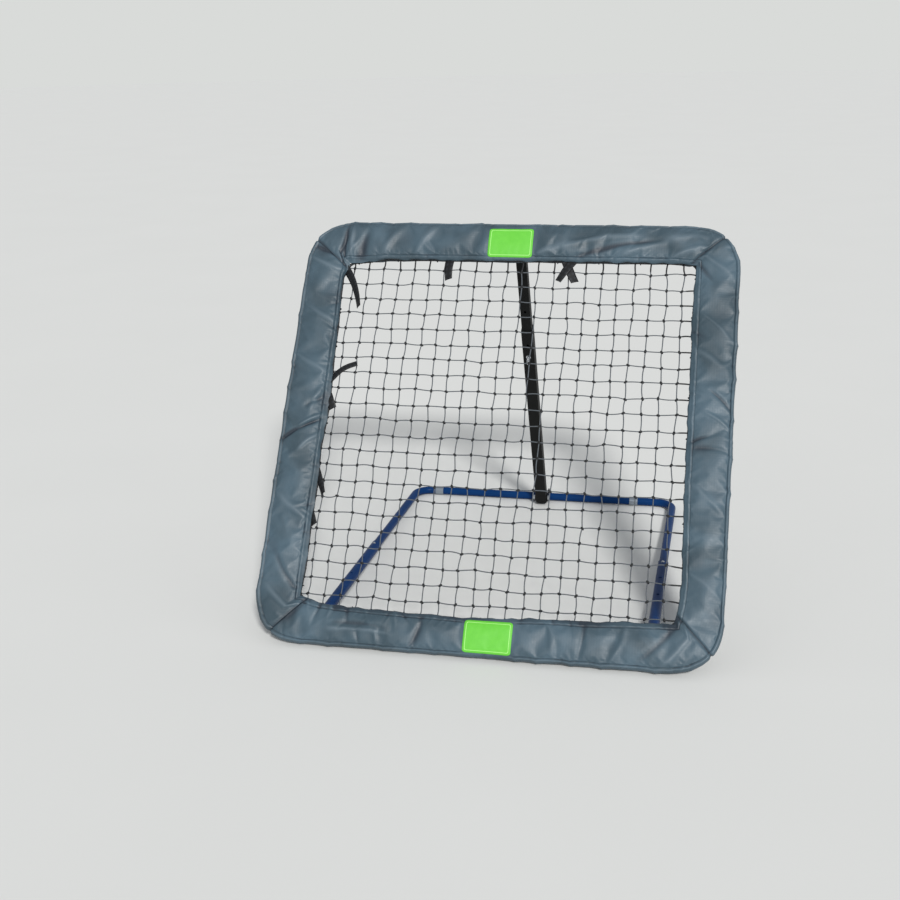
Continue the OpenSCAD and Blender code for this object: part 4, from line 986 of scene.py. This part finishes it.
webbing, tree, shader = new_material("woven_polyester_webbing")
tie_uv = add(tree, "ShaderNodeUVMap", uv_map="cloth").outputs[0]
plait = maths(tree, "MULTIPLY", waves(tree, tie_uv, 0.0022, "X"), waves(tree, tie_uv, 0.0016, "Y"))
feed(tree, shader, {"Base Color": between(tree, plait, "#0d0e10", "#22252a"), "Roughness": 0.6})
bump(tree, shader, plait, 0.7, 0.0004)

lanes = np.linspace(-TIE_WIDTH / 2, TIE_WIDTH / 2, TIE_LANES)
profile_w = np.concatenate([lanes, lanes[::-1]])
profile_h = np.repeat([TIE_THICKNESS / 2, -TIE_THICKNESS / 2], TIE_LANES)
cup = TIE_CUP * np.cos(math.pi * profile_w / TIE_WIDTH)
f = np.linspace(0, 1, TIE_STEPS)
parts, uvs = [], []
for side, place_x, length, lean, bend, twist, more_twist, lift in TAILS:
    # The centre line turns steadily from its lean by the bend, and rises off the net and back
    heading = np.radians(lean + bend * f)
    root = rope_line(side, place_x / MEAN_REACH) + ROPE_RADIUS
    step = (length + root - COVER_EDGE) / (TIE_STEPS - 1)
    x = place_x + np.concatenate([[0], np.cumsum(np.sin(heading[:-1]) * step)])
    d = root - np.concatenate([[0], np.cumsum(np.cos(heading[:-1]) * step)])
    out = ROPE_RADIUS + TIE_CLEARANCE + lift * np.sin(math.pi * np.clip(f * 0.9, 0, 1)) ** 1.5
    roll = np.radians(twist + more_twist * f)
    wide = np.stack([np.cos(heading) * np.cos(roll), np.sin(roll), np.sin(heading) * np.cos(roll)], -1)
    flat = np.stack([-np.cos(heading) * np.sin(roll), np.cos(roll), -np.sin(heading) * np.sin(roll)], -1)
    line = np.stack([x, out, d], -1)[:, None]
    rings = (line + wide[:, None] * profile_w[:, None]
             + flat[:, None] * (profile_h + cup * f[:, None])[..., None])
    parts.append((side_points(side, *np.moveaxis(rings, -1, 0)), capped(TIE_STEPS, len(profile_w))))
    uvs.append(np.stack(np.broadcast_arrays(profile_w, f[:, None] * length), -1))
ties = new_piece("webbing_ties", *joined(parts), webbing, np.concatenate(uvs))
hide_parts("pad_ties")
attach(ties, "panel")


# ---- Metalwork and mouldings ----
# Tubes, brackets, fasteners and plastic guides keep their CAD shapes. The ground frame is
# enamelled navy, the strut and brackets are powder coated black, and most fasteners zinc plated.

def finish_nodes(material, *names):
    """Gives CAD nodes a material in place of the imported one."""
    for name in names:
        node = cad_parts[name]
        if not node.material_slots:
            node.data.materials.append(material)
        for slot in node.material_slots:
            slot.material = material


def coated_metal(name, dark, light, roughness, grain_size, grain_depth, **settings):
    """A hard surface: two close tones in slow clouds, fine grain in its relief and its gloss, and
    further settings of its shader, with underscores for spaces."""
    material, tree, shader = new_material(name)
    place = object_place(tree)
    grain = noise(tree, place, 1 / grain_size, 3)
    feed(tree, shader, {"Base Color": between(tree, noise(tree, place, 14, 5), dark, light),
                        "Roughness": ramp(tree, grain, 0.3, 0.7, roughness - 0.06, roughness + 0.08),
                        "Coat Roughness": 0.08})
    feed(tree, shader, {key.replace("_", " "): value for key, value in settings.items()})
    bump(tree, shader, grain, 0.5, grain_depth)
    return material


navy_enamel = coated_metal("navy_gloss_enamel", "#082a58", "#0c386c", 0.38, 0.006, 0.0002,
                           Specular_IOR_Level=0.06, Coat_Weight=0.03)
black_powder = coated_metal("black_powder_coat", "#070808", "#0d0e0e", 0.58, 0.0016, 0.0002,
                            Specular_IOR_Level=0.2)
frame_powder = coated_metal("grey_powder_coat", "#24282f", "#2f343c", 0.45, 0.0016, 0.0002)
zinc_plate = coated_metal("bright_zinc_plate", "#aab0b6", "#c8ccd0", 0.28, 0.003, 0.0001, Metallic=1)
collar_steel = coated_metal("galvanised_collar", "#8d97a2", "#a6afb8", 0.34, 0.003, 0.0001, Metallic=0.85)
chrome_plate = coated_metal("chrome_plate", "#c4c8cc", "#d6d9dc", 0.14, 0.004, 0.00005, Metallic=1)
spring_temper = coated_metal("blued_spring_steel", "#6d7279", "#8b9097", 0.32, 0.002, 0.0001, Metallic=1)
guide_nylon = coated_metal("moulded_nylon", "#141517", "#1c1d20", 0.5, 0.0012, 0.0001)

finish_nodes(navy_enamel, "front_leg_left", "front_leg_right", "rear_leg_left", "rear_leg_right", "crossbar")
finish_nodes(black_powder, "strut_outer_tube", "strut_inner_tube", "head_bracket", "foot_bracket")
finish_nodes(frame_powder, *["frame_" + name for name in (
    "corner_top_left", "corner_top_right", "corner_bottom_right", "corner_bottom_left", "top_tube",
    "bottom_tube", "left_tube", "right_tube")])
finish_nodes(zinc_plate, "frame_screws", "head_bolt", "head_nut", "foot_bolt", "foot_nut", "clamp_bolt",
             "clamp_nut", "collar_screws", "pull_ring")
finish_nodes(collar_steel, "crossbar_collars")
finish_nodes(chrome_plate, "lock_pin", "snap_button_left", "snap_button_right")
finish_nodes(spring_temper, "button_spring_left", "button_spring_right")
finish_nodes(guide_nylon, "leg_guide_bushes", "strut_guide_bush", "strut_glide")
